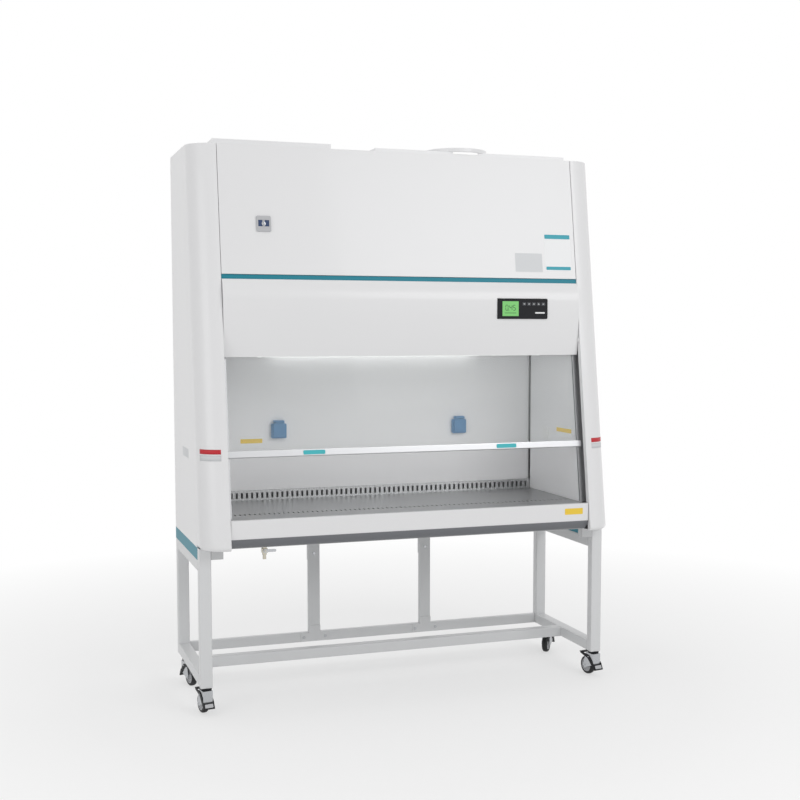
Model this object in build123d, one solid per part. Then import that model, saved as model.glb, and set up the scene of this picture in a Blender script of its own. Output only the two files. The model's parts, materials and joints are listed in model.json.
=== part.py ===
from build123d import *
from math import acos, cos, pi, radians, sin, sqrt, tan
import os

os.makedirs("parts", exist_ok=True)

# A biosafety cabinet on a rolling stand. Millimetres, X to the right seen from the front,
# Y to the back, Z up. The origin is on the floor, under the middle of the cabinet.

# Overall sizes
WIDTH = 1760.0
DEPTH = 710.0
BASE_Z = 667.0
CABINET_TOP = 2252.0
FACE_LEAN = 8.4
HALF_WIDTH = WIDTH / 2
FRONT_Y = -DEPTH / 2
BACK_Y = DEPTH / 2
SHEET = 2.0
SEAM = 0.5

# Stand
FRAME_BASE = 111.0
SIDE_BEAM_HEIGHT = 49.0
STAND_TOP = BASE_Z - SIDE_BEAM_HEIGHT
LEG_WIDTH = 48.0
LEG_DEPTH = 40.0
LEG_SETBACK = 105.0
RAIL_HEIGHT = 44.0
RAIL_DEPTH = 44.0
REAR_RAIL_DEPTH = 25.0
TUBE_WALL = 2.0
TUBE_CORNER = 4.0
FRONT_RAIL_SETBACK = 401.0
POST_WIDTH = 54.0
POST_SPACING = 533.0
POST_TAB_DROP = 90.0
POST_FOOT_WIDTH = 126.0
POST_FOOT_HEIGHT = 40.0
POST_BOLT_SPACING = 100.0
POST_TOP_BOLT_DROP = 102.0
POST_TOP_BOLT_Z = STAND_TOP - POST_TOP_BOLT_DROP
PLATE = 4.0
BOLT_HEAD_RADIUS = 6.5
BOLT_HEAD_HEIGHT = 4.0
BOLT_SHANK_RADIUS = 4.0
BOLT_CLEAR = 0.4
FOOT_BOLT_LENGTH = 14.0
MOUNT_BLOCK_WIDTH = 48.0
MOUNT_BLOCK_HEIGHT = 45.0

# Casters
WHEEL_RADIUS = 40.0
WHEEL_WIDTH = 26.0
HUB_RADIUS = 27.0
HUB_WIDTH = 30.0
AXLE_RADIUS = 4.0
CASTER_TRAIL = 36.0
FORK_PLATE = 3.0
FORK_GAP = 34.0
FORK_FRONT = 22.0
FORK_TOP = 99.7
FORK_SKIRT_Z = 52.0
BEARING_RADIUS = 23.0
BEARING_HEIGHT = 11.0
KINGPIN_RADIUS = 6.0
RUNNING_CLEARANCE = 0.05
ROCKER_PIN_RADIUS = 2.5
ROCKER_PIN_Y = 8.0
ROCKER_PIN_Z = 84.0
ROCKER_ARM = 2.5
REAR_CASTER_SETBACK = 125.0
CASTER_YAWS = {"front_left": 10.0, "front_right": 12.0, "rear_left": 195.0, "rear_right": 140.0}

# Corner covers
COVER_WIDTH = 110.0
COVER_DEPTH = 150.0
COVER_RADIUS = 96.0
COVER_WALL = 3.0
COVER_RETURN = 26.0
COVER_FOOT_RADIUS = 16.0
PANEL_SIDE_GAP = 2.0
COVER_INNER_X = HALF_WIDTH - COVER_WIDTH
PANEL_HALF_WIDTH = COVER_INNER_X - PANEL_SIDE_GAP

# Front panels
UPPER_PANEL_HEIGHT = 512.5
UPPER_PANEL_BOTTOM = CABINET_TOP - UPPER_PANEL_HEIGHT
UPPER_PANEL_SETBACK = 2.0
UPPER_PANEL_DEPTH = 20.0
TRIM_GAP = 1.5
TRIM_HEIGHT = 18.0
TRIM_TOP = UPPER_PANEL_BOTTOM - TRIM_GAP
TRIM_SETBACK = 6.0
TRIM_DEPTH = 10.0
LOWER_PANEL_HEIGHT = 306.0
LOWER_PANEL_TOP = TRIM_TOP - TRIM_HEIGHT
LOWER_PANEL_BOTTOM = LOWER_PANEL_TOP - LOWER_PANEL_HEIGHT
SHOULDER_DROP = 80.0
BOW_Z = LOWER_PANEL_TOP - SHOULDER_DROP
BOW_PROUD = 15.5
SHOULDER_RADIUS = 132.0
BOW_RADIUS = 1650.0
LOWER_PANEL_BACK = 40.0
PANEL_PAD_DROPS = (250.0, 130.0)
PANEL_PAD_ZS = tuple(LOWER_PANEL_TOP - drop for drop in PANEL_PAD_DROPS)
PANEL_PAD_SIZE = 16.0
PANEL_PAD_SETBACK = 6.0
PANEL_HINGE_DROP = 12.0
PANEL_HINGE_Z = CABINET_TOP - PANEL_HINGE_DROP
PANEL_HINGE_SETBACK = 14.0
PANEL_HINGE_INSET = 78.0
PANEL_HINGE_X = PANEL_HALF_WIDTH - PANEL_HINGE_INSET
HINGE_LUG = 12.0
HINGE_PIN_RADIUS = 4.0
HINGE_CLEAR = 3.5
HINGE_HOOK = 9.0

# Side, rear and top
PAN_FLANGE = 18.0
TOP_BOX_INSET = 105.0
TOP_BOX_WIDTH = 488.0
TOP_BOX_GAP = 190.0
TOP_BOX_LEFT = -HALF_WIDTH + TOP_BOX_INSET
TOP_BOX_RIGHT = TOP_BOX_LEFT + TOP_BOX_WIDTH
TOP_BOX_HEIGHT = 27.0
TOP_BOX_SETBACK = 291.0
TOP_BOX_FRONT = FRONT_Y + TOP_BOX_SETBACK
TOP_BOX_REAR_MARGIN = 89.0
TOP_BOX_BACK = BACK_Y - TOP_BOX_REAR_MARGIN
FILTER_COVER_LEFT = TOP_BOX_RIGHT + TOP_BOX_GAP
FILTER_COVER_RIGHT = PANEL_HALF_WIDTH
FILTER_COVER_HEIGHT = 21.0
COLLAR_MARGIN = 30.0
COLLAR_OFFSET_X = 30.5
COLLAR_OFFSET_Y = 46.0
COLLAR_X = (FILTER_COVER_LEFT + FILTER_COVER_RIGHT) / 2 - COLLAR_OFFSET_X
COLLAR_Y = (TOP_BOX_FRONT + TOP_BOX_BACK) / 2 - COLLAR_OFFSET_Y
COLLAR_RADIUS = (TOP_BOX_BACK - TOP_BOX_FRONT) / 2 - COLLAR_MARGIN
COLLAR_WALL = 3.0
COLLAR_HEIGHT = 38.0
COLLAR_TOP = CABINET_TOP + COLLAR_HEIGHT
COLLAR_FLANGE = 8.0

# Base and sill
WORK_HEIGHT = 114.0
WORK_Z = BASE_Z + WORK_HEIGHT
SILL_RISE = 3.0
SILL_TOP = WORK_Z + SILL_RISE
SILL_SETBACK = 21.0
SILL_RADIUS = 48.0
SILL_LEDGE = 18.0
SILL_LIP_DEPTH = 14.0
SILL_HALF_WIDTH = PANEL_HALF_WIDTH

# Work chamber
CHAMBER_INSET = 114.0
CHAMBER_HALF_WIDTH = HALF_WIDTH - CHAMBER_INSET
CEILING_RISE = 26.0
CEILING_Z = LOWER_PANEL_BOTTOM + CEILING_RISE
REAR_DUCT = 85.0
REAR_LINER_Y = BACK_Y - REAR_DUCT
CHAMBER_FIT = 2.0
SLOT_PANEL_GAP = 15.0
SLOT_PANEL_Y = REAR_LINER_Y - SLOT_PANEL_GAP
SLOT_PANEL_HEIGHT = 41.0
REAR_SLOT_WIDTH = 9.0
REAR_SLOT_HEIGHT = 24.0
REAR_SLOT_PITCH = 22.5
FRONT_SLOT_WIDTH = 6.0
FRONT_SLOT_LENGTH = 30.0
FRONT_SLOT_PITCH = 20.0
FRONT_SLOT_SETBACK = 190.0
FRONT_SLOT_Y = FRONT_Y + FRONT_SLOT_SETBACK
SLOT_MARGIN = 18.0
PORT_FROM_REAR = 185.0
PORT_Y = REAR_LINER_Y - PORT_FROM_REAR
PORT_RISE = 270.0
PORT_Z = WORK_Z + PORT_RISE
PORT_RADIUS = 29.0
PORT_STUB_RADIUS = 20.0
PORT_THICKNESS = 4.0

# Sockets on the rear wall
SOCKET_SHIFT = 33.0
SOCKET_XS = {"left": -HALF_WIDTH / 2, "right": HALF_WIDTH / 2 - SOCKET_SHIFT}
SOCKET_RISE = 306.0
SOCKET_Z = WORK_Z + SOCKET_RISE
SOCKET_WIDTH = 66.0
SOCKET_HEIGHT = 78.0
SOCKET_DEPTH = 18.0
SOCKET_WELL_RADIUS = 20.0
SOCKET_WELL_DEPTH = 14.0
SOCKET_LID_WIDTH = 54.0
SOCKET_LID_HEIGHT = 60.0
SOCKET_LID_THICKNESS = 6.0
SOCKET_HEAD_WIDTH = 44.0
SOCKET_EAR = 4.0
SOCKET_EAR_HEIGHT = 7.0
SOCKET_EAR_DEPTH = 11.0
SOCKET_PIN_RADIUS = 2.5
SOCKET_KNUCKLE_RADIUS = 5.0

# Sash
GLASS_THICKNESS = 6.0
GLASS_BEHIND = 54.0
GLASS_SIDE_GAP = 1.5
GLASS_HALF_WIDTH = CHAMBER_HALF_WIDTH - GLASS_SIDE_GAP
GLASS_TOP_GAP = 20.0
GLASS_TOP = LOWER_PANEL_TOP - GLASS_TOP_GAP
OPENING_HEIGHT = 240.0
RAIL_BOTTOM = WORK_Z + OPENING_HEIGHT
HANDLE_HEIGHT = 28.0
HANDLE_BEHIND = 36.4
HANDLE_DEPTH = 14.0
HANDLE_SIDE_GAP = 3.0
HANDLE_HALF_WIDTH = COVER_INNER_X - HANDLE_SIDE_GAP
HANDLE_LIP = 5.0
GRIP_INSET = 463.0
GRIP_X = HALF_WIDTH - GRIP_INSET
GRIP_WIDTH = 90.0
GRIP_HEIGHT = 17.0
GRIP_PROUD = 2.0
GUIDE_BEHIND = 51.4
GUIDE_LAP = 11.0
GUIDE_WIDTH = 35.0
GUIDE_INNER_X = CHAMBER_HALF_WIDTH - GUIDE_LAP
GUIDE_OUTER_X = GUIDE_INNER_X + GUIDE_WIDTH
GUIDE_FLANGE = 2.0
GUIDE_CLEAR = 0.6
GUIDE_WEB_DEPTH = 24.0
GUIDE_HEADROOM = 132.0
GUIDE_TOP = CABINET_TOP - GUIDE_HEADROOM

# Sash drive: a rack on each edge of the glass and a pinion shaft across the cabinet
RACK_MODULE = 4.0
PINION_TEETH = 16
PRESSURE_ANGLE = 20.0
TOOTH_BACKLASH = 0.5
RACK_SETOUT = 5.5
RACK_WIDTH = 16.0
RACK_INNER_X = GLASS_HALF_WIDTH
RACK_TOOTH_X = RACK_INNER_X + RACK_SETOUT
RACK_OUTER_X = RACK_TOOTH_X + RACK_WIDTH
RACK_RISE = 44.0
RACK_TOP = GLASS_TOP + RACK_RISE
RACK_BODY = 6.5
PINION_RISE = 30.0
PINION_Z = CEILING_Z + PINION_RISE
SHAFT_RADIUS = 10.0
BEARING_BLOCK_INSET = 21.0
BEARING_BLOCK_X = CHAMBER_HALF_WIDTH - BEARING_BLOCK_INSET
BEARING_BLOCK_WIDTH = 14.0
BEARING_BLOCK_DEPTH = 40.0
DRIVE_INSET = 450.0
DRIVE_X = HALF_WIDTH - DRIVE_INSET
DRIVE_LENGTH = 150.0
DRIVE_SIZE = 56.0

# Controls
BEZEL_INSET = 377.0
BEZEL_X = HALF_WIDTH - BEZEL_INSET
BEZEL_DROP = 110.0
BEZEL_Z = LOWER_PANEL_TOP - BEZEL_DROP
BEZEL_WIDTH = 230.0
BEZEL_HEIGHT = 85.0
BEZEL_DEPTH = 16.0
BEZEL_PROUD = 3.0
BEZEL_CORNER = 6.0
BEZEL_FIT = 0.3
DISPLAY_OFFSET = 56.0
DISPLAY_X = BEZEL_X - DISPLAY_OFFSET
DISPLAY_WIDTH = 74.0
DISPLAY_HEIGHT = 62.0
DISPLAY_DEPTH = 3.0
KEY_COUNT = 5
KEY_OFFSET = 7.0
KEY_FIRST_X = BEZEL_X + KEY_OFFSET
KEY_PITCH = 22.0
KEY_RISE = 20.0
KEY_Z = BEZEL_Z + KEY_RISE
KEY_WIDTH = 16.0
KEY_HEIGHT = 14.0
KEY_THICKNESS = 3.2
KEY_PROUD = 0.6
KEY_TRAVEL = 0.6
KEY_FIT = 0.3
LOCK_INSET = 287.0
LOCK_X = -HALF_WIDTH + LOCK_INSET
LOCK_RISE = 199.5
LOCK_Z = UPPER_PANEL_BOTTOM + LOCK_RISE
LOCK_WIDTH = 58.0
LOCK_HEIGHT = 63.0
LOCK_THICKNESS = 6.0
LOCK_WELL_WIDTH = 44.0
LOCK_WELL_HEIGHT = 26.0
LOCK_WELL_DEPTH = 2.5
BARREL_RADIUS = 8.0
BARREL_LENGTH = 24.0
KEY_BOW_WIDTH = 3.0
KEY_BOW_HEIGHT = 12.0
KEY_BOW_LENGTH = 10.0

# Air system
FILTER_RISE = 6.0
FILTER_Z = CEILING_Z + FILTER_RISE
FILTER_HEIGHT = 70.0
FILTER_SIDE_GAP = 28.0
FILTER_HALF_WIDTH = CHAMBER_HALF_WIDTH - FILTER_SIDE_GAP
FILTER_SETBACK = 255.0
FILTER_FRONT = FRONT_Y + FILTER_SETBACK
FILTER_REAR_GAP = 8.0
FILTER_BACK = REAR_LINER_Y - FILTER_REAR_GAP
FILTER_FRAME = 18.0
PLENUM_HEIGHT = 36.0
FAN_RADIUS = 125.0
FAN_REAR_GAP = 120.0
FAN_Y = BACK_Y - FAN_RADIUS - FAN_REAR_GAP
FAN_RISE = 399.0
FAN_Z = FILTER_Z + FAN_RISE
FAN_WIDTH = 190.0
FAN_HUB_RADIUS = 26.0
FAN_BLADES = 24
FAN_BLADE_CHORD = 30.0
FAN_BLADE_THICKNESS = 2.0
FAN_DISC = 4.0
SCROLL_GROWTH = 44.0
SCROLL_CLEAR = 16.0
SCROLL_WIDTH = 230.0
SCROLL_INLET_STEP = 29.0
SCROLL_INLET_RADIUS = FAN_RADIUS - SCROLL_INLET_STEP
FAN_SHAFT_RADIUS = 8.0
MOTOR_RADIUS = 62.0
MOTOR_LENGTH = 150.0
MOTOR_GAP = 12.0
EXHAUST_FILTER_WIDTH = 480.0
EXHAUST_FILTER_DEPTH = 300.0
EXHAUST_FILTER_HEIGHT = 69.0
EXHAUST_FILTER_DROP = 20.0

# Lamps
LAMP_RADIUS = 13.0
LAMP_END_GAP = 166.0
LAMP_LENGTH = 2 * (CHAMBER_HALF_WIDTH - LAMP_END_GAP)
UV_LAMP_LENGTH = 900.0
LAMP_SETBACK = 215.0
LAMP_Y = FRONT_Y + LAMP_SETBACK
UV_LAMP_GAP = 30.0
UV_LAMP_Y = REAR_LINER_Y - UV_LAMP_GAP
LAMP_DROP = 15.0
LAMP_HOLDER_LENGTH = 18.0

# Drain
DRAIN_INSET = 258.0
DRAIN_X = -HALF_WIDTH + DRAIN_INSET
DRAIN_SETBACK = 97.0
DRAIN_Y = FRONT_Y + DRAIN_SETBACK
DRAIN_PIPE_RADIUS = 9.0
DRAIN_BORE_RADIUS = 6.0
DRAIN_BODY_SIZE = 22.0
DRAIN_DROP = 34.0
DRAIN_OUTLET_LENGTH = 18.0
DRAIN_OUTLET_RADIUS = 7.0
DRAIN_OUTLET_BORE = 4.5
LEVER_LENGTH = 44.0
LEVER_WIDTH = 11.0
LEVER_THICKNESS = 3.0
LEVER_HUB_RADIUS = 8.0
STEM_RADIUS = 4.0

# Sizes worked out from the ones above
LEAN = radians(FACE_LEAN)
LEG_X = HALF_WIDTH - LEG_WIDTH / 2
FRONT_LEG_Y = FRONT_Y + LEG_SETBACK
REAR_LEG_Y = BACK_Y - LEG_DEPTH
INNER_WIDTH = WIDTH - 2 * LEG_WIDTH
FACE = Plane(origin=(0, FRONT_Y, BASE_Z), x_dir=(1, 0, 0), z_dir=(0, -cos(LEAN), sin(LEAN)))


def face_y(z):
    """Y of the leaning front plane of the covers at height z."""
    return FRONT_Y + (z - BASE_Z) * tan(LEAN)


def along_face(z, behind=0.0):
    """Distance up the leaning plane at which a point this far behind it has height z."""
    return (z - BASE_Z + behind * sin(LEAN)) / cos(LEAN)


def block(x0, x1, y0, y1, z0, z1):
    """Box between two corners."""
    centre = ((x0 + x1) / 2, (y0 + y1) / 2, (z0 + z1) / 2)
    return Pos(*centre) * Box(abs(x1 - x0), abs(y1 - y0), abs(z1 - z0))


def face_block(x0, x1, s0, s1, front, back):
    """Box in the leaning frame: across, up the face, and behind the face."""
    centre = ((x0 + x1) / 2, (s0 + s1) / 2, -(front + back) / 2)
    return FACE * Pos(*centre) * Box(abs(x1 - x0), abs(s1 - s0), abs(back - front))


def face_slab(x0, x1, z0, z1, setback, depth):
    """Leaning slab with level top and bottom ends."""
    corners = [
        (face_y(z0) + setback, z0),
        (face_y(z1) + setback, z1),
        (face_y(z1) + setback + depth, z1),
        (face_y(z0) + setback + depth, z0),
    ]
    return side_profile(corners, x0, x1)


def side_profile(corners, x0, x1):
    """Polygon of (y, z) corners, stretched from x0 to x1."""
    outline = Plane.YZ * make_face(Polyline(*corners, close=True))
    return Pos(x0, 0, 0) * extrude(outline, amount=x1 - x0)


def tube(size_x, size_y, length):
    """Upright rectangular tube with rounded corners, its foot at the origin."""
    outside = RectangleRounded(size_x, size_y, TUBE_CORNER)
    inside = RectangleRounded(size_x - 2 * TUBE_WALL, size_y - 2 * TUBE_WALL, TUBE_CORNER - TUBE_WALL)
    return extrude(outside - inside, amount=length)


def rod(radius, length, axis="x"):
    """Round rod centred on the origin, along one axis."""
    turns = {"x": Rot(0, 90, 0), "y": Rot(90, 0, 0), "z": Rot(0, 0, 0)}
    return turns[axis] * Cylinder(radius, length)


def mirrored(solid):
    """The same piece on the other side of the cabinet."""
    return mirror(solid, about=Plane.YZ)


def both_sides(solid):
    """A left and right pair."""
    return [solid, mirrored(solid)]


# Stand

def stand_legs():
    """Four legs; the front pair runs up past the side beams to carry the covers."""
    front = tube(LEG_WIDTH, LEG_DEPTH, BASE_Z - FRAME_BASE)
    rear = tube(LEG_WIDTH, LEG_DEPTH, STAND_TOP - FRAME_BASE)
    front = Pos(LEG_X, FRONT_LEG_Y + LEG_DEPTH / 2, FRAME_BASE) * front
    rear = Pos(LEG_X, REAR_LEG_Y + LEG_DEPTH / 2, FRAME_BASE) * rear
    return both_sides(front) + both_sides(rear)


def side_rail(top):
    """Rail between a front and a rear leg."""
    y0 = FRONT_LEG_Y + LEG_DEPTH
    rail = Rot(-90, 0, 0) * tube(LEG_WIDTH, RAIL_HEIGHT, REAR_LEG_Y - y0)
    return Pos(LEG_X, y0, top - RAIL_HEIGHT / 2) * rail


def stand_side_rails():
    """Lower and upper side rails."""
    return both_sides(side_rail(FRAME_BASE + RAIL_HEIGHT)) + both_sides(side_rail(STAND_TOP))


def cross_rail(front_y, depth, top):
    """Rail across the stand between the two sides."""
    rail = Rot(0, 90, 0) * tube(RAIL_HEIGHT, depth, INNER_WIDTH)
    return Pos(-INNER_WIDTH / 2, front_y + depth / 2, top - RAIL_HEIGHT / 2) * rail


def stand_cross_rails():
    """Front stretcher, lower rear rail and upper rear rail with the tabs for the posts."""
    lower_top = FRAME_BASE + RAIL_HEIGHT
    rear_y = BACK_Y - REAR_RAIL_DEPTH
    upper = cross_rail(rear_y, REAR_RAIL_DEPTH, STAND_TOP)
    lower = cross_rail(rear_y, REAR_RAIL_DEPTH, lower_top)
    under = STAND_TOP - RAIL_HEIGHT
    half = POST_WIDTH / 2
    tabs = [block(x - half, x + half, BACK_Y - PLATE, BACK_Y, under - POST_TAB_DROP, under)
            for x in (-POST_SPACING / 2, POST_SPACING / 2)]
    pieces = [lower, upper, *tabs]
    for hole in bolt_holes():
        pieces = [piece - hole for piece in pieces]
    return [cross_rail(FRONT_Y + FRONT_RAIL_SETBACK, RAIL_DEPTH, lower_top), *pieces]


def stand_rear_posts():
    """Two posts behind the knee space, each with a bolted foot plate on the lower rail."""
    posts = []
    depth = REAR_RAIL_DEPTH - PLATE
    foot_z = FRAME_BASE + RAIL_HEIGHT
    rear_y = BACK_Y - REAR_RAIL_DEPTH
    for x in (-POST_SPACING / 2, POST_SPACING / 2):
        post = Pos(x, rear_y + depth / 2, foot_z) * tube(POST_WIDTH, depth, STAND_TOP - RAIL_HEIGHT - foot_z)
        half = POST_FOOT_WIDTH / 2
        top = foot_z - (RAIL_HEIGHT - POST_FOOT_HEIGHT) / 2
        post += block(x - half, x + half, rear_y - PLATE, rear_y, top - POST_FOOT_HEIGHT, top)
        post += block(x - POST_WIDTH / 2, x + POST_WIDTH / 2, rear_y - PLATE, rear_y, top - 1, foot_z + 30)
        for hole in bolt_holes():
            post -= hole
        posts.append(post)
    return posts


def bolt_places():
    """Where the post bolts sit: (x, y, z) of each head's seat and the length of its shank."""
    places = []
    rear_y = BACK_Y - REAR_RAIL_DEPTH
    foot_z = FRAME_BASE + RAIL_HEIGHT / 2
    for x in (-POST_SPACING / 2, POST_SPACING / 2):
        for side in (-1, 1):
            foot_x = x + side * POST_BOLT_SPACING / 2
            places.append((foot_x, rear_y - PLATE, foot_z, FOOT_BOLT_LENGTH))
        places.append((x, rear_y, POST_TOP_BOLT_Z, REAR_RAIL_DEPTH))
    return places


def bolt(x, y, z, shank):
    """Hexagon bolt whose head looks to the front."""
    body = extrude(RegularPolygon(BOLT_HEAD_RADIUS, 6), amount=BOLT_HEAD_HEIGHT)
    body += Pos(0, 0, -shank / 2) * Cylinder(BOLT_SHANK_RADIUS, shank)
    return Pos(x, y, z) * Rot(90, 0, 0) * body


def bolt_holes():
    """Clearance holes for all the post bolts, as one cutter."""
    radius = BOLT_SHANK_RADIUS + BOLT_CLEAR
    return [Pos(x, y + shank / 2, z) * rod(radius, shank + 2, "y") for x, y, z, shank in bolt_places()]


def stand_bolts():
    """Bolts that hold the feet and the tops of the rear posts."""
    return [bolt(*place) for place in bolt_places()]


# Casters

def fork_side():
    """One cheek of the fork, drawn in the plane of the wheel."""
    axle_y = CASTER_TRAIL
    axle_z = WHEEL_RADIUS
    nose = 12.0
    with BuildSketch(Plane.YZ) as cheek:
        with BuildLine():
            Polyline(
                (-FORK_FRONT, FORK_TOP),
                (-FORK_FRONT, FORK_SKIRT_Z),
                (axle_y - nose, axle_z - nose / 2),
                (axle_y, axle_z - nose),
                (axle_y + nose, axle_z),
                (FORK_FRONT + 6, FORK_TOP),
                close=True,
            )
        make_face()
    return extrude(cheek.sketch, amount=FORK_PLATE)


def caster_fork():
    """Folded fork with its skirt, kingpin and axle, trailing towards +Y."""
    outer = FORK_GAP / 2 + FORK_PLATE
    cheek = Pos(FORK_GAP / 2, 0, 0) * fork_side()
    fork = cheek + mirrored(cheek)
    fork += block(-outer, outer, -FORK_FRONT, FORK_FRONT + 6, FORK_TOP - FORK_PLATE, FORK_TOP)
    fork += block(-outer, outer, -FORK_FRONT, -FORK_FRONT + FORK_PLATE, FORK_SKIRT_Z, FORK_TOP)
    pin_top = FRAME_BASE - 2.0
    fork += Pos(0, 0, (FORK_TOP + pin_top) / 2) * Cylinder(KINGPIN_RADIUS, pin_top - FORK_TOP)
    fork += Pos(0, CASTER_TRAIL, WHEEL_RADIUS) * rod(AXLE_RADIUS, 2 * outer + 3.0)
    fork += Pos(0, ROCKER_PIN_Y, ROCKER_PIN_Z) * rod(ROCKER_PIN_RADIUS, 2 * outer + 2 * ROCKER_ARM + 2.0)
    return fork


def caster_wheel():
    """Grey hub with a hollowed face, pressed into a black tread with rounded shoulders."""
    shoulder = 6.0
    tread = rod(WHEEL_RADIUS, WHEEL_WIDTH) - rod(HUB_RADIUS, WHEEL_WIDTH + 2)
    rims = tread.edges().filter_by(GeomType.CIRCLE).group_by(SortBy.RADIUS)[-1]
    tread = fillet(rims, shoulder)
    hub = rod(HUB_RADIUS, WHEEL_WIDTH - 2) + rod(HUB_RADIUS / 2.6, HUB_WIDTH)
    for side in (-1, 1):
        hollow = rod(HUB_RADIUS - 4.0, 6.0) - rod(HUB_RADIUS / 2.6, 6.0)
        hub -= Pos(side * (WHEEL_WIDTH / 2 - 2.0), 0, 0) * hollow
    hub -= rod(AXLE_RADIUS + RUNNING_CLEARANCE, HUB_WIDTH + 2)
    place = Pos(0, CASTER_TRAIL, WHEEL_RADIUS)
    return [place * tread, place * hub]


def caster_rocker():
    """Brake rocker: a tread wing behind, a toe in front and an arm down each side of the fork."""
    inner = FORK_GAP / 2 + FORK_PLATE + 0.4
    outer = inner + ROCKER_ARM
    arm_path = [(-FORK_FRONT - 6, 44), (-FORK_FRONT - 1, 40), (ROCKER_PIN_Y + 6, ROCKER_PIN_Z - 7),
                (62, 90), (64, 96), (44, 96), (ROCKER_PIN_Y - 2, ROCKER_PIN_Z + 7),
                (-FORK_FRONT - 6, 56)]
    rocker = side_profile(arm_path, inner, outer)
    rocker += mirrored(rocker)
    rocker += side_profile([(48, 94), (66, 94), (68, 98), (48, 98)], -outer, outer)
    rocker += side_profile(
        [(-FORK_FRONT - 6, 38), (-FORK_FRONT - 14, 30), (-FORK_FRONT - 16, 34), (-FORK_FRONT - 6, 54),
         (-FORK_FRONT - 2.5, 54), (-FORK_FRONT - 2.5, 42)], -outer, outer)
    rocker -= Pos(0, ROCKER_PIN_Y, ROCKER_PIN_Z) * rod(ROCKER_PIN_RADIUS + RUNNING_CLEARANCE, 4 * outer)
    return rocker


def caster_bearing():
    """Black bearing cup between the fork and the frame."""
    cup = Pos(0, 0, FRAME_BASE - BEARING_HEIGHT / 2) * Cylinder(BEARING_RADIUS, BEARING_HEIGHT)
    foot = cup.edges().filter_by(GeomType.CIRCLE).sort_by(Axis.Z)[0]
    cup = fillet(foot, 3.0)
    return cup - Pos(0, 0, FRAME_BASE - BEARING_HEIGHT / 2) * Cylinder(
        KINGPIN_RADIUS + RUNNING_CLEARANCE, BEARING_HEIGHT + 2)


def caster_place(name):
    """Position and rest yaw of one caster."""
    x = LEG_X if name.endswith("right") else -LEG_X
    y = FRONT_LEG_Y + LEG_DEPTH / 2 if name.startswith("front") else BACK_Y - REAR_CASTER_SETBACK
    return Pos(x, y, 0) * Rot(0, 0, CASTER_YAWS[name])


# Cabinet body

def base_side_beams():
    """Painted beams on the upper side rails, carrying the cabinet."""
    y0 = FRONT_LEG_Y + LEG_DEPTH
    return both_sides(block(HALF_WIDTH - LEG_WIDTH, HALF_WIDTH, y0, BACK_Y, STAND_TOP, BASE_Z))


def base_pan():
    """Floor of the cabinet with a drained tub under the work surface, and its mounting blocks."""
    wide = HALF_WIDTH - PAN_FLANGE - SEAM
    tub = CHAMBER_HALF_WIDTH - CHAMBER_FIT
    tub_front = FRONT_Y + SILL_SETBACK + SILL_RADIUS
    tub_back = SLOT_PANEL_Y
    floor_front = FRONT_Y + COVER_DEPTH + SEAM
    floor = block(-wide, wide, floor_front, BACK_Y - SHEET, BASE_Z, BASE_Z + SHEET)
    floor += block(-tub, tub, tub_front, floor_front + 1, BASE_Z, BASE_Z + SHEET)
    wall_top = WORK_Z - SHEET
    outside = block(-tub, tub, tub_front, tub_back, BASE_Z + SHEET, wall_top)
    inside = block(-tub + SHEET, tub - SHEET, tub_front + SHEET, tub_back - SHEET, BASE_Z, wall_top + 1)
    pan = floor + (outside - inside)
    pan -= Pos(DRAIN_X, DRAIN_Y, BASE_Z) * Cylinder(DRAIN_BORE_RADIUS, 6 * SHEET)
    inner = HALF_WIDTH - LEG_WIDTH
    mount = block(inner - MOUNT_BLOCK_WIDTH, inner, FRONT_LEG_Y, FRONT_LEG_Y + LEG_DEPTH,
                  BASE_Z - MOUNT_BLOCK_HEIGHT, BASE_Z)
    return [pan] + both_sides(mount)


def sill_outline(inset):
    """Section of the sill, moved inwards by inset: level top, upright face, quarter round below."""
    face = FRONT_Y + SILL_SETBACK + inset
    foot = BASE_Z + SHEET + inset
    radius = SILL_RADIUS - inset
    back = FRONT_Y + SILL_SETBACK + SILL_RADIUS
    centre_z = BASE_Z + SHEET + SILL_RADIUS
    top = SILL_TOP - inset
    middle = (back - radius * cos(pi / 4), centre_z - radius * sin(pi / 4))
    with BuildSketch(Plane.YZ) as section:
        with BuildLine():
            Polyline((back, foot), (back, top), (face, top), (face, centre_z))
            ThreePointArc((face, centre_z), middle, (back, foot))
        make_face()
    return section.sketch


def front_sill():
    """Folded sill across the front, open at the back, with a narrow ledge on top."""
    shell = extrude(sill_outline(0.0), amount=2 * SILL_HALF_WIDTH)
    hollow = extrude(sill_outline(SHEET), amount=2 * SILL_HALF_WIDTH)
    shell = Pos(-SILL_HALF_WIDTH, 0, 0) * shell
    hollow = Pos(-SILL_HALF_WIDTH, 0, 0) * hollow
    face = FRONT_Y + SILL_SETBACK
    back = face + SILL_RADIUS
    shell -= hollow
    shell -= block(-WIDTH, WIDTH, face + SILL_LEDGE, back + 1, BASE_Z + SILL_RADIUS, SILL_TOP + 1)
    lip = block(-SILL_HALF_WIDTH, SILL_HALF_WIDTH, face + SILL_LEDGE - SHEET, face + SILL_LEDGE,
                SILL_TOP - SILL_LIP_DEPTH, SILL_TOP)
    return shell + lip


def cover_outline(inset, rear):
    """Level section of a right-hand cover at the foot, moved inwards by inset."""
    radius = COVER_RADIUS - inset
    x0 = COVER_INNER_X + inset
    x1 = HALF_WIDTH - inset
    y0 = FRONT_Y + inset
    y1 = FRONT_Y + COVER_DEPTH + rear
    middle = (x1 - radius + radius * cos(pi / 4), y0 + radius - radius * sin(pi / 4))
    with BuildSketch() as section:
        with BuildLine():
            Polyline((x1, y0 + radius), (x1, y1), (x0, y1), (x0, y0), (x1 - radius, y0))
            ThreePointArc((x1 - radius, y0), middle, (x1, y0 + radius))
        make_face()
    return section.sketch


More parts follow.
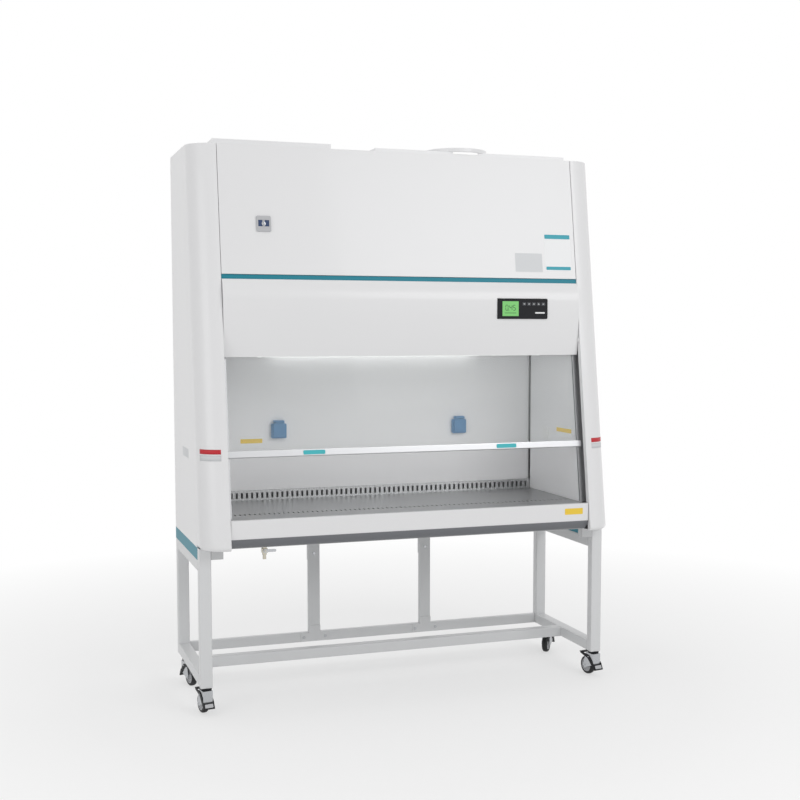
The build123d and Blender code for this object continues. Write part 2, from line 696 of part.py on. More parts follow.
def cover_body(inset, rear):
    """Leaning column of the cover's section with a rounded foot."""
    height = CABINET_TOP - BASE_Z - 2 * inset
    lean = (0, sin(LEAN), cos(LEAN))
    body = extrude(cover_outline(inset, rear), amount=height / cos(LEAN), dir=lean)
    body = Pos(0, inset * tan(LEAN), BASE_Z + inset) * body
    foot = body.faces().sort_by(Axis.Z)[0]
    front_y = FRONT_Y + COVER_DEPTH + rear - 1
    edges = [edge for edge in foot.edges() if edge.center().Y < front_y and edge.center().X > COVER_INNER_X + 5]
    return fillet(edges, COVER_FOOT_RADIUS - inset)


def corner_covers():
    """Leaning corner columns: a hollow shell with a big round corner and a narrow inner return."""
    shell = cover_body(0.0, 0.0) - cover_body(COVER_WALL, 4.0)
    opening = side_profile(
        [
            (face_y(BASE_Z) + COVER_RETURN, BASE_Z + COVER_WALL),
            (face_y(CABINET_TOP) + COVER_RETURN, CABINET_TOP - COVER_WALL),
            (face_y(CABINET_TOP) + COVER_DEPTH + 1, CABINET_TOP - COVER_WALL),
            (face_y(BASE_Z) + COVER_DEPTH + 1, BASE_Z + COVER_WALL),
        ],
        COVER_INNER_X - 1, COVER_INNER_X + COVER_WALL + 1)
    return both_sides(shell - opening)


def side_pan():
    """Right-hand side panel: a plate with flanges turned in all round."""
    seam = COVER_DEPTH + SEAM

    def outline(inset):
        return [
            (face_y(BASE_Z + inset) + seam + inset, BASE_Z + inset),
            (face_y(CABINET_TOP - inset) + seam + inset, CABINET_TOP - inset),
            (BACK_Y - inset, CABINET_TOP - inset),
            (BACK_Y - inset, BASE_Z + inset),
        ]

    pan = side_profile(outline(0.0), HALF_WIDTH - PAN_FLANGE, HALF_WIDTH)
    return pan - side_profile(outline(SHEET), HALF_WIDTH - PAN_FLANGE - 1, HALF_WIDTH - SHEET)


def side_panels():
    """Left and right side panels."""
    return both_sides(side_pan())


def rear_panel():
    """Rear panel between the side panels, with a flange turned in all round."""
    half = HALF_WIDTH - PAN_FLANGE - SEAM
    y0 = BACK_Y - PAN_FLANGE
    bottom = BASE_Z + SHEET + SEAM
    top = CABINET_TOP - SHEET - SEAM
    panel = block(-half, half, y0, BACK_Y, bottom, top)
    return panel - block(-half + SHEET, half - SHEET, y0 - 1, BACK_Y - SHEET, bottom + SHEET, top - SHEET)


def hinge_bracket(x):
    """Hook under the deck that reaches the panel's hinge pin from below, clear of the swinging flange."""
    axis_y = face_y(PANEL_HINGE_Z) + PANEL_HINGE_SETBACK
    root = deck_front() + HINGE_HOOK
    boss = HINGE_PIN_RADIUS + 2.0
    low = PANEL_HINGE_Z - 2 * HINGE_HOOK
    hook = [
        (axis_y - boss, PANEL_HINGE_Z + boss), (axis_y + boss, PANEL_HINGE_Z + boss),
        (axis_y + boss, low), (root, low), (root, CABINET_TOP - SHEET),
        (root + HINGE_HOOK, CABINET_TOP - SHEET), (root + HINGE_HOOK, low - HINGE_HOOK),
        (axis_y - boss, low - HINGE_HOOK),
    ]
    pin = Pos(x - HINGE_LUG / 2, axis_y, PANEL_HINGE_Z) * rod(HINGE_PIN_RADIUS, HINGE_LUG + 2 * PLATE)
    return side_profile(hook, x, x + PLATE) + pin


def deck_front():
    """Y of the deck's front edge, just behind the swing of the upper front panel."""
    return face_y(CABINET_TOP) + UPPER_PANEL_SETBACK + UPPER_PANEL_DEPTH + HINGE_CLEAR


def top_panel():
    """Deck with its hinge brackets, the raised electrics box and the low filter cover."""
    step = face_y(CABINET_TOP) + COVER_DEPTH + SEAM
    wide = HALF_WIDTH - PAN_FLANGE - SEAM
    narrow = PANEL_HALF_WIDTH
    z0 = CABINET_TOP - SHEET
    deck = block(-wide, wide, step, BACK_Y - SHEET, z0, CABINET_TOP)
    deck += block(-narrow, narrow, deck_front(), step + 1, z0, CABINET_TOP)
    deck += hinge_bracket(PANEL_HINGE_X)
    deck += mirrored(hinge_bracket(PANEL_HINGE_X))
    deck -= Pos(COLLAR_X, COLLAR_Y, z0) * Cylinder(COLLAR_RADIUS - COLLAR_WALL, 8 * SHEET)
    back = TOP_BOX_BACK
    box_top = CABINET_TOP + TOP_BOX_HEIGHT
    box = block(TOP_BOX_LEFT, TOP_BOX_RIGHT, TOP_BOX_FRONT, back, CABINET_TOP, box_top)
    box -= block(TOP_BOX_LEFT + SHEET, TOP_BOX_RIGHT - SHEET, TOP_BOX_FRONT + SHEET, back - SHEET,
                 CABINET_TOP - 1, box_top - SHEET)
    cover_top = CABINET_TOP + FILTER_COVER_HEIGHT
    cover = block(FILTER_COVER_LEFT, FILTER_COVER_RIGHT, TOP_BOX_FRONT, back, CABINET_TOP, cover_top)
    cover -= block(FILTER_COVER_LEFT + SHEET, FILTER_COVER_RIGHT - SHEET, TOP_BOX_FRONT + SHEET, back - SHEET,
                   CABINET_TOP - 1, cover_top - SHEET)
    cover -= Pos(COLLAR_X, COLLAR_Y, cover_top) * Cylinder(COLLAR_RADIUS - COLLAR_WALL, 8 * SHEET)
    return [deck, box, cover]


def exhaust_collar():
    """Round spigot for the exhaust duct on a flat flange."""
    z0 = CABINET_TOP + FILTER_COVER_HEIGHT
    inner = COLLAR_RADIUS - COLLAR_WALL
    flange = Pos(0, 0, z0 + SHEET / 2) * (Cylinder(COLLAR_RADIUS + COLLAR_FLANGE, SHEET) - Cylinder(inner, SHEET))
    spigot = Cylinder(COLLAR_RADIUS, COLLAR_TOP - z0) - Cylinder(inner, COLLAR_TOP - z0)
    return Pos(COLLAR_X, COLLAR_Y, 0) * (flange + Pos(0, 0, (z0 + COLLAR_TOP) / 2) * spigot)


# Front panels

def upper_front_panel():
    """Hinged pan-shaped panel with two lugs for its pins."""
    z0 = UPPER_PANEL_BOTTOM
    z1 = CABINET_TOP
    half = PANEL_HALF_WIDTH
    panel = face_slab(-half, half, z0, z1, UPPER_PANEL_SETBACK, UPPER_PANEL_DEPTH)
    inner = UPPER_PANEL_SETBACK + SHEET
    panel -= face_slab(-half + SHEET, half - SHEET, z0 + SHEET, z1 - SHEET, inner, UPPER_PANEL_DEPTH)
    axis_y = face_y(PANEL_HINGE_Z) + PANEL_HINGE_SETBACK
    for side in (-1, 1):
        x = side * (PANEL_HINGE_X - HINGE_LUG / 2 - SEAM)
        lug = block(x - HINGE_LUG / 2, x + HINGE_LUG / 2, axis_y - 10, axis_y + 7,
                    PANEL_HINGE_Z - 7, CABINET_TOP - SHEET)
        panel += lug
        panel -= Pos(x, axis_y, PANEL_HINGE_Z) * rod(HINGE_PIN_RADIUS + RUNNING_CLEARANCE, 2 * HINGE_LUG)
    lock = FACE * Pos(LOCK_X, along_face(LOCK_Z), -UPPER_PANEL_SETBACK) * Cylinder(BARREL_RADIUS + 2, 12)
    return panel - lock


def trim_strip():
    """Coloured strip in the joint between the two front panels, held by the corner covers."""
    return face_slab(-COVER_INNER_X, COVER_INNER_X, LOWER_PANEL_TOP, TRIM_TOP, TRIM_SETBACK, TRIM_DEPTH)


def bowed_outline(inset):
    """Section of the lower front panel: shoulder arc, slow bow and a leaning back."""
    bow_y = face_y(BOW_Z) - BOW_PROUD
    top_rise = LOWER_PANEL_TOP - inset - BOW_Z
    foot_drop = BOW_Z - LOWER_PANEL_BOTTOM - inset

    def shoulder(rise):
        return bow_y + SHOULDER_RADIUS - sqrt((SHOULDER_RADIUS - inset) ** 2 - rise ** 2)

    def bow(drop):
        return bow_y + BOW_RADIUS - sqrt((BOW_RADIUS - inset) ** 2 - drop ** 2)

    top_z = LOWER_PANEL_TOP - inset
    foot_z = LOWER_PANEL_BOTTOM + inset
    top_back = face_y(top_z) + LOWER_PANEL_BACK
    foot_back = face_y(foot_z) + LOWER_PANEL_BACK + 8
    with BuildSketch(Plane.YZ) as section:
        with BuildLine():
            ThreePointArc((shoulder(top_rise), top_z), (shoulder(top_rise / 2), BOW_Z + top_rise / 2),
                          (bow_y + inset, BOW_Z))
            ThreePointArc((bow_y + inset, BOW_Z), (bow(foot_drop / 2), BOW_Z - foot_drop / 2),
                          (bow(foot_drop), foot_z))
            Polyline((bow(foot_drop), foot_z), (foot_back, foot_z), (top_back, top_z),
                     (shoulder(top_rise), top_z))
        make_face()
    return section.sketch


def lower_front_panel():
    """Bowed console panel with closed ends and an open back, cut out for the controls."""
    half = PANEL_HALF_WIDTH
    panel = Pos(-half, 0, 0) * extrude(bowed_outline(0.0), amount=2 * half)
    hollow = Pos(-half + SHEET, 0, 0) * extrude(bowed_outline(SHEET), amount=2 * (half - SHEET))
    panel -= hollow
    panel -= Pos(0, 8, 0) * hollow
    for z in PANEL_PAD_ZS:
        y0 = face_y(z) + PANEL_PAD_SETBACK
        pad = block(half - SHEET, COVER_INNER_X, y0, y0 + PANEL_PAD_SIZE, z, z + PANEL_PAD_SIZE)
        panel = panel + pad + mirrored(pad)
    y = face_y(BOW_Z) - BOW_PROUD
    cut_x = BEZEL_WIDTH / 2 + BEZEL_FIT
    cut_z = BEZEL_HEIGHT / 2 + BEZEL_FIT
    panel -= block(BEZEL_X - cut_x, BEZEL_X + cut_x, y - 5, y + 12, BEZEL_Z - cut_z, BEZEL_Z + cut_z)
    return panel


def bezel_plane(x, z, behind=0.0):
    """Upright plane on the control bezel's front face, seen from the front."""
    y = face_y(BOW_Z) - BOW_PROUD - BEZEL_PROUD + behind
    return Plane(origin=(x, y, z), x_dir=(1, 0, 0), z_dir=(0, -1, 0))


def key_xs():
    """Centres of the keys."""
    return [KEY_FIRST_X + KEY_PITCH * index for index in range(KEY_COUNT)]


def control_bezel():
    """Black panel with a window recess and a pocket for each key."""
    body = bezel_plane(BEZEL_X, BEZEL_Z) * extrude(
        RectangleRounded(BEZEL_WIDTH, BEZEL_HEIGHT, BEZEL_CORNER), amount=-BEZEL_DEPTH)
    body -= bezel_plane(DISPLAY_X, BEZEL_Z) * extrude(
        Rectangle(DISPLAY_WIDTH, DISPLAY_HEIGHT), amount=-DISPLAY_DEPTH)
    depth = KEY_THICKNESS - KEY_PROUD + KEY_TRAVEL + 0.2
    for x in key_xs():
        body -= bezel_plane(x, KEY_Z) * extrude(
            Rectangle(KEY_WIDTH + 2 * KEY_FIT, KEY_HEIGHT + 2 * KEY_FIT), amount=-depth)
    return body


def display_window():
    """Flat window of the display, seated in its recess."""
    return bezel_plane(DISPLAY_X, BEZEL_Z, DISPLAY_DEPTH) * extrude(
        Rectangle(DISPLAY_WIDTH, DISPLAY_HEIGHT), amount=DISPLAY_DEPTH)


def key_cap(x):
    """One key with a softened front edge."""
    cap = bezel_plane(x, KEY_Z, KEY_THICKNESS - KEY_PROUD) * extrude(
        Rectangle(KEY_WIDTH, KEY_HEIGHT), amount=KEY_THICKNESS)
    return chamfer(cap.faces().sort_by(Axis.Y)[0].edges(), 0.5)


def lock_place(behind=0.0):
    """Frame at the centre of the key switch on the leaning panel."""
    return FACE * Pos(LOCK_X, along_face(LOCK_Z), -UPPER_PANEL_SETBACK * cos(LEAN) - behind)


def key_switch_bezel():
    """Grey switch plate with a recessed window and the bore of the lock."""
    plate = extrude(RectangleRounded(LOCK_WIDTH, LOCK_HEIGHT, 5), amount=LOCK_THICKNESS)
    well = extrude(Rectangle(LOCK_WELL_WIDTH, LOCK_WELL_HEIGHT), amount=LOCK_WELL_DEPTH)
    plate -= Pos(0, 2, LOCK_THICKNESS - LOCK_WELL_DEPTH) * well
    plate -= Pos(0, 0, LOCK_THICKNESS / 2) * Cylinder(BARREL_RADIUS + RUNNING_CLEARANCE, 2 * LOCK_THICKNESS)
    return lock_place() * plate


def key_barrel():
    """Lock barrel with its key bow standing out of the plate."""
    barrel = Pos(0, 0, LOCK_THICKNESS - BARREL_LENGTH / 2) * Cylinder(BARREL_RADIUS, BARREL_LENGTH)
    bow = Pos(0, 0, LOCK_THICKNESS + KEY_BOW_LENGTH / 2) * Box(KEY_BOW_WIDTH, KEY_BOW_HEIGHT, KEY_BOW_LENGTH)
    bow = fillet(bow.edges().filter_by(Axis.X).sort_by(Axis.Z)[-2:], 3.0)
    return lock_place() * (barrel + bow)


# Work chamber

def slot_xs(pitch):
    """Evenly spaced slot centres across the chamber."""
    room = 2 * (CHAMBER_HALF_WIDTH - CHAMBER_FIT - SLOT_MARGIN)
    count = int(room // pitch) + 1
    first = -(count - 1) * pitch / 2
    return [first + pitch * index for index in range(count)]


def work_surface():
    """Stainless work surface with a row of air slots behind its front edge."""
    half = CHAMBER_HALF_WIDTH - CHAMBER_FIT
    front = FRONT_Y + SILL_SETBACK + SILL_LEDGE + SEAM
    tray = block(-half, half, front, SLOT_PANEL_Y - SEAM, WORK_Z - SHEET, WORK_Z)
    places = [(x, FRONT_SLOT_Y) for x in slot_xs(FRONT_SLOT_PITCH)]
    slots = Locations(*places) * Rectangle(FRONT_SLOT_WIDTH, FRONT_SLOT_LENGTH)
    return tray - Pos(0, 0, WORK_Z - 2 * SHEET) * extrude(Sketch() + slots, amount=4 * SHEET)


def rear_slot_panel():
    """Slotted air panel at the back of the work surface, with a flange to the rear liner."""
    half = CHAMBER_HALF_WIDTH - CHAMBER_FIT
    top = WORK_Z + SLOT_PANEL_HEIGHT
    panel = block(-half, half, SLOT_PANEL_Y, SLOT_PANEL_Y + SHEET, WORK_Z - SHEET, top)
    panel += block(-half, half, SLOT_PANEL_Y, REAR_LINER_Y, top - SHEET, top)
    plane = Plane(origin=(0, SLOT_PANEL_Y, WORK_Z + SLOT_PANEL_HEIGHT / 2 - 1), x_dir=(1, 0, 0), z_dir=(0, -1, 0))
    places = [(x, 0) for x in slot_xs(REAR_SLOT_PITCH)]
    slots = Sketch() + Locations(*places) * Rectangle(REAR_SLOT_WIDTH, REAR_SLOT_HEIGHT)
    return panel - plane * Pos(0, 0, -3 * SHEET) * extrude(slots, amount=6 * SHEET)


def side_liner():
    """Right-hand wall of the chamber, its front edge following the lean of the sash."""
    setback = (GLASS_BEHIND + GLASS_THICKNESS + GUIDE_CLEAR + GUIDE_FLANGE) / cos(LEAN)
    corners = [
        (face_y(WORK_Z) + setback, WORK_Z),
        (face_y(CEILING_Z) + setback, CEILING_Z),
        (SLOT_PANEL_Y, CEILING_Z),
        (SLOT_PANEL_Y, WORK_Z),
    ]
    liner = side_profile(corners, CHAMBER_HALF_WIDTH, CHAMBER_HALF_WIDTH + SHEET)
    return liner


def chamber_liner():
    """Rear wall and two side walls of the chamber; the right one has the service port."""
    half = CHAMBER_HALF_WIDTH - CHAMBER_FIT
    rear = block(-half, half, REAR_LINER_Y, REAR_LINER_Y + SHEET, WORK_Z + SLOT_PANEL_HEIGHT - SHEET, CEILING_Z)
    left = mirrored(side_liner())
    right = side_liner() - Pos(CHAMBER_HALF_WIDTH, PORT_Y, PORT_Z) * rod(PORT_STUB_RADIUS + 0.3, 20)
    return [rear, left, right]


def service_port_cap():
    """Round plug in the service port of the right wall."""
    cap = Pos(CHAMBER_HALF_WIDTH - PORT_THICKNESS / 2, PORT_Y, PORT_Z) * rod(PORT_RADIUS, PORT_THICKNESS)
    rim = cap.edges().filter_by(GeomType.CIRCLE).sort_by(Axis.X)[0]
    cap = fillet(rim, 1.5)
    return cap + Pos(CHAMBER_HALF_WIDTH + 5, PORT_Y, PORT_Z) * rod(PORT_STUB_RADIUS, 12)


def ceiling_diffuser():
    """Ceiling sheet of the chamber with a shallow raised field under the filter."""
    half = CHAMBER_HALF_WIDTH - CHAMBER_FIT
    front = face_y(CEILING_Z) + (GLASS_BEHIND + GLASS_THICKNESS) / cos(LEAN) + 3.0
    top = CEILING_Z + SHEET
    sheet = block(-half, half, front, REAR_LINER_Y + SHEET, CEILING_Z, top)
    rim = block(-FILTER_HALF_WIDTH, FILTER_HALF_WIDTH, FILTER_FRONT, FILTER_BACK, top, FILTER_Z)
    rim -= block(-FILTER_HALF_WIDTH + FILTER_FRAME, FILTER_HALF_WIDTH - FILTER_FRAME,
                 FILTER_FRONT + FILTER_FRAME, FILTER_BACK - FILTER_FRAME, CEILING_Z - 1, FILTER_Z + 1)
    return sheet + rim


def socket_plane(name, behind=0.0):
    """Upright plane at the middle of a socket, on the rear wall."""
    return Plane(origin=(SOCKET_XS[name], REAR_LINER_Y + behind, SOCKET_Z), x_dir=(1, 0, 0), z_dir=(0, -1, 0))


def socket_axis_height():
    """Height of the lid's hinge pin above the middle of the socket."""
    return SOCKET_HEIGHT / 2 - SOCKET_KNUCKLE_RADIUS - 1.0


def socket_box(name):
    """Socket body with a narrow head, a round well and two ears that hold the lid's pin."""
    body = extrude(RectangleRounded(SOCKET_WIDTH, SOCKET_HEIGHT - 14, 5), amount=SOCKET_DEPTH)
    head = extrude(Rectangle(SOCKET_HEAD_WIDTH, 20), amount=SOCKET_DEPTH)
    body = Pos(0, -7, 0) * body + Pos(0, SOCKET_HEIGHT / 2 - 10, 0) * head
    well = Pos(0, -8, SOCKET_DEPTH - SOCKET_WELL_DEPTH / 2) * Cylinder(SOCKET_WELL_RADIUS, SOCKET_WELL_DEPTH)
    body -= well
    height = socket_axis_height()
    lift = SOCKET_DEPTH + SOCKET_KNUCKLE_RADIUS
    ear_x = SOCKET_HEAD_WIDTH / 2 - SOCKET_EAR / 2
    for side in (-1, 1):
        body += Pos(side * ear_x, height, lift - 1.5) * Box(SOCKET_EAR, SOCKET_EAR_HEIGHT, SOCKET_EAR_DEPTH)
    body += Pos(0, height, lift) * rod(SOCKET_PIN_RADIUS, 2 * ear_x)
    return socket_plane(name) * body


def socket_lid(name):
    """Sprung-looking lid with a knuckle round the pin and a lip at its foot."""
    height = socket_axis_height()
    lift = SOCKET_DEPTH + SOCKET_KNUCKLE_RADIUS
    knuckle = SOCKET_HEAD_WIDTH - 2 * SOCKET_EAR - 1.0
    gap = 0.4
    plate = extrude(RectangleRounded(SOCKET_LID_WIDTH, SOCKET_LID_HEIGHT, 5), amount=SOCKET_LID_THICKNESS)
    plate = Pos(0, height - SOCKET_LID_HEIGHT / 2 - 6, SOCKET_DEPTH + gap) * plate
    plate += Pos(0, height, lift) * rod(SOCKET_KNUCKLE_RADIUS - gap, knuckle)
    plate += Pos(0, height - 4, SOCKET_DEPTH + gap + 2.5) * Box(knuckle, 8, 4)
    foot = height - SOCKET_LID_HEIGHT - 2
    plate += Pos(0, foot, SOCKET_DEPTH + gap + SOCKET_LID_THICKNESS) * Box(22, 6, 4)
    plate -= Pos(0, height, lift) * rod(SOCKET_PIN_RADIUS + RUNNING_CLEARANCE, SOCKET_WIDTH)
    return socket_plane(name) * plate


# Sash and its drive

def sash_glass():
    """Sliding pane in the leaning plane."""
    s0 = along_face(RAIL_BOTTOM, HANDLE_BEHIND) + HANDLE_LIP
    s1 = along_face(GLASS_TOP, GLASS_BEHIND)
    return face_block(-GLASS_HALF_WIDTH, GLASS_HALF_WIDTH, s0, s1, GLASS_BEHIND, GLASS_BEHIND + GLASS_THICKNESS)


def sash_handle_rail():
    """Handle rail clamped round the foot of the glass."""
    s0 = along_face(RAIL_BOTTOM, HANDLE_BEHIND)
    s1 = s0 + HANDLE_HEIGHT
    front = HANDLE_BEHIND
    back = GLASS_BEHIND + GLASS_THICKNESS
    inner = GUIDE_INNER_X - 2.0
    bar = face_block(-HANDLE_HALF_WIDTH, HANDLE_HALF_WIDTH, s0, s1, front, front + HANDLE_DEPTH)
    bar = fillet(bar.edges().filter_by(Axis.X).sort_by(Axis.Y)[:2], 3.0)
    bar += face_block(-inner, inner, s0, s1, front + HANDLE_DEPTH - 1, GLASS_BEHIND)
    bar += face_block(-inner, inner, s0, s0 + HANDLE_LIP, GLASS_BEHIND - 1, back + 3)
    bar += face_block(-inner, inner, s0, s1 - 6, back, back + 3)
    return bar


def sash_grips():
    """Two coloured finger grips on the handle rail."""
    s = along_face(RAIL_BOTTOM, HANDLE_BEHIND) + HANDLE_HEIGHT / 2
    pads = []
    for x in (-GRIP_X, GRIP_X):
        pad = extrude(RectangleRounded(GRIP_WIDTH, GRIP_HEIGHT, 5), amount=GRIP_PROUD)
        pads.append(FACE * Pos(x, s, -HANDLE_BEHIND) * pad)
    return pads


def sash_guides():
    """Edge guides: an angle in front of each glass edge and a strip behind it."""
    s0 = along_face(SILL_TOP, GUIDE_BEHIND)
    s1 = along_face(GUIDE_TOP, GUIDE_BEHIND)
    front = GUIDE_BEHIND
    angle = face_block(GUIDE_INNER_X, GUIDE_OUTER_X, s0, s1, front, front + GUIDE_FLANGE)
    angle += face_block(GUIDE_OUTER_X - GUIDE_FLANGE, GUIDE_OUTER_X, s0, s1, front, front + GUIDE_WEB_DEPTH)
    behind = GLASS_BEHIND + GLASS_THICKNESS + GUIDE_CLEAR
    s2 = along_face(CEILING_Z, behind)
    strip = face_block(GUIDE_INNER_X, CHAMBER_HALF_WIDTH + SHEET, s0 + 2, s2, behind, behind + GUIDE_FLANGE)
    return both_sides(angle) + both_sides(strip)


def rack_pitch_behind():
    """Depth of the rack's pitch line behind the face."""
    return GLASS_BEHIND + RACK_BODY + 1.25 * RACK_MODULE


def sash_rack():
    """Right-hand rack: a bar on the glass edge with straight-sided teeth on its rear face."""
    s0 = along_face(RAIL_BOTTOM, HANDLE_BEHIND) + HANDLE_LIP
    s1 = along_face(RACK_TOP, GLASS_BEHIND)
    mesh = along_face(PINION_Z, rack_pitch_behind())
    pitch = pi * RACK_MODULE
    slope = tan(radians(PRESSURE_ANGLE))
    root = GLASS_BEHIND + RACK_BODY
    tip = root + 2.25 * RACK_MODULE
    half_root = pitch / 4 - TOOTH_BACKLASH / 2 + 1.25 * RACK_MODULE * slope
    half_tip = pitch / 4 - TOOTH_BACKLASH / 2 - RACK_MODULE * slope
    first = int((s0 - mesh) / pitch) - 1
    outline = [(s0, GLASS_BEHIND), (s0, root)]
    centre = mesh + (first + 0.5) * pitch
    while centre + half_root < s1:
        if centre - half_root > s0:
            outline += [(centre - half_root, root), (centre - half_tip, tip),
                        (centre + half_tip, tip), (centre + half_root, root)]
        centre += pitch
    outline += [(s1, root), (s1, GLASS_BEHIND)]
    rows = [(s, -behind) for s, behind in outline]
    teeth = extrude(make_face(Polyline(*rows, close=True)), amount=RACK_OUTER_X - RACK_TOOTH_X)
    frame = FACE * Plane(origin=(RACK_TOOTH_X, 0, 0), x_dir=(0, 1, 0), z_dir=(1, 0, 0)).location
    rack = frame * teeth
    rack += face_block(RACK_INNER_X, RACK_TOOTH_X + 1, s0, s1, GLASS_BEHIND, GLASS_BEHIND + GLASS_THICKNESS)
    return rack


def sash_racks():
    """Left and right racks."""
    return both_sides(sash_rack())


def involute_point(base, radius):
    """Polar angle of an involute of the given base circle at the given radius."""
    pressure = acos(min(1.0, base / radius))
    return tan(pressure) - pressure


def pinion():
    """Spur pinion with involute flanks, one tooth pointing at the rack."""
    pitch_radius = RACK_MODULE * PINION_TEETH / 2
    base = pitch_radius * cos(radians(PRESSURE_ANGLE))
    tip = pitch_radius + RACK_MODULE
    root = pitch_radius - 1.25 * RACK_MODULE
    half_tooth = pi / (2 * PINION_TEETH) - TOOTH_BACKLASH / (2 * pitch_radius)
    offset = half_tooth + involute_point(base, pitch_radius)
    radii = [max(base, root), pitch_radius, pitch_radius + RACK_MODULE / 2, tip]
    points = []
    for index in range(PINION_TEETH):
        middle = 2 * pi * index / PINION_TEETH
        flank = [(radius, offset - involute_point(base, radius)) for radius in radii]
        foot = (root, flank[0][1])
        left = [(r, middle - a) for r, a in [foot] + flank]
        right = [(r, middle + a) for r, a in reversed([foot] + flank)]
        points += left + right
    corners = [(radius * cos(angle), radius * sin(angle)) for radius, angle in points]
    return extrude(make_face(Polyline(*corners, close=True)), amount=RACK_OUTER_X - RACK_TOOTH_X)


def sash_pinion_shaft():
    """Shaft across the cabinet with a pinion at each end."""
    behind = rack_pitch_behind() + RACK_MODULE * PINION_TEETH / 2
    s = along_face(PINION_Z, rack_pitch_behind())
    frame = FACE * Plane(origin=(RACK_TOOTH_X, s, -behind), x_dir=(0, 0, 1), z_dir=(1, 0, 0)).location
    gear = frame * pinion()
    shaft = FACE * Pos(0, s, -behind) * rod(SHAFT_RADIUS, 2 * RACK_OUTER_X)
    return shaft + gear + mirrored(gear)


def shaft_centre():
    """World (y, z) of the pinion shaft's axis."""
    behind = rack_pitch_behind() + RACK_MODULE * PINION_TEETH / 2
    centre = FACE.from_local_coords(Vector(0, along_face(PINION_Z, rack_pitch_behind()), -behind))
    return centre.Y, centre.Z


def sash_drive_motor():
    """Tubular gear motor round the shaft and two bearing blocks, all standing on the ceiling sheet."""
    y, z = shaft_centre()
    foot = CEILING_Z + SHEET
    bore = rod(SHAFT_RADIUS + RUNNING_CLEARANCE, WIDTH)
    bodies = []
    for x in (-BEARING_BLOCK_X, BEARING_BLOCK_X):
        half = BEARING_BLOCK_WIDTH / 2
        depth = BEARING_BLOCK_DEPTH / 2
        pillow = block(x - half, x + half, y - depth, y + depth, foot, z)
        pillow += Pos(x, y, z) * rod(depth, BEARING_BLOCK_WIDTH)
        bodies.append(pillow - Pos(0, y, z) * bore)
    size = DRIVE_SIZE / 2
    motor = block(DRIVE_X - DRIVE_LENGTH / 2, DRIVE_X + DRIVE_LENGTH / 2, y - size, y + size, foot, z + size)
    motor = fillet(motor.edges().filter_by(Axis.X), 6.0)
    bodies.append(motor - Pos(0, y, z) * bore)
    return bodies


# Air system

def filter_box(x0, x1, y0, y1, z0, z1):
    """Filter: a frame with pleated media set back inside both faces."""
    inset = FILTER_FRAME
    frame = block(x0, x1, y0, y1, z0, z1)
    frame -= block(x0 + inset, x1 - inset, y0 + inset, y1 - inset, z0 - 1, z1 + 1)
    media = block(x0 + inset, x1 - inset, y0 + inset, y1 - inset, z0 + 6, z1 - 6)
    return [frame, media]


def hepa_filters():
    """Supply filter over the chamber and exhaust filter under the collar."""
    supply = filter_box(-FILTER_HALF_WIDTH, FILTER_HALF_WIDTH, FILTER_FRONT, FILTER_BACK,
                        FILTER_Z, FILTER_Z + FILTER_HEIGHT)
    x0 = COLLAR_X - EXHAUST_FILTER_WIDTH / 2
    y0 = COLLAR_Y - EXHAUST_FILTER_DEPTH / 2 + EXHAUST_FILTER_DROP
    top = CABINET_TOP - SHEET
    exhaust = filter_box(x0, x0 + EXHAUST_FILTER_WIDTH, y0, y0 + EXHAUST_FILTER_DEPTH,
                         top - EXHAUST_FILTER_HEIGHT, top)
    return supply + exhaust


def scroll_outline(inset):
    """Side view of the fan scroll: a growing round with a throat running down to the plenum."""
    start = FAN_RADIUS + SCROLL_CLEAR - inset
    floor = FILTER_Z + FILTER_HEIGHT + PLENUM_HEIGHT - (1.0 if inset else 0.0)
    right = start + SCROLL_GROWTH
    top = start + SCROLL_GROWTH / 2
    left = start + SCROLL_GROWTH / 4
    with BuildSketch(Plane.YZ) as section:
        with BuildLine():
            Spline((FAN_Y + right, FAN_Z), (FAN_Y, FAN_Z + top), (FAN_Y - left, FAN_Z),
                   (FAN_Y - 0.6 * left, FAN_Z - 0.8 * left),
                   tangents=[(0, 1), (0.7, -1)])
            Polyline((FAN_Y - 0.6 * left, FAN_Z - 0.8 * left), (FAN_Y + 0.1 * right, floor),
                     (FAN_Y + right, floor), (FAN_Y + right, FAN_Z))
        make_face()
    return section.sketch


def blower_housing():
    """Fan scroll with an inlet on each side, standing on the plenum lid over the supply filter."""
    half = SCROLL_WIDTH / 2
    scroll = Pos(-half, 0, 0) * extrude(scroll_outline(0.0), amount=SCROLL_WIDTH)
    hollow = Pos(-half + SHEET, 0, 0) * extrude(scroll_outline(SHEET), amount=SCROLL_WIDTH - 2 * SHEET)
    scroll -= hollow
    scroll -= Pos(0, FAN_Y, FAN_Z) * rod(SCROLL_INLET_RADIUS, SCROLL_WIDTH + 4)
    z0 = FILTER_Z + FILTER_HEIGHT
    z1 = z0 + PLENUM_HEIGHT
    lid = block(-FILTER_HALF_WIDTH, FILTER_HALF_WIDTH, FILTER_FRONT, FILTER_BACK, z0, z1)
    lid -= block(-FILTER_HALF_WIDTH + SHEET, FILTER_HALF_WIDTH - SHEET, FILTER_FRONT + SHEET,
                 FILTER_BACK - SHEET, z0 - 1, z1 - SHEET)
    right = FAN_RADIUS + SCROLL_CLEAR + SCROLL_GROWTH
    lid -= block(-half + SHEET, half - SHEET, FAN_Y + 0.1 * right + 3, FAN_Y + right - SHEET, z0, z1 + 1)
    return scroll + lid


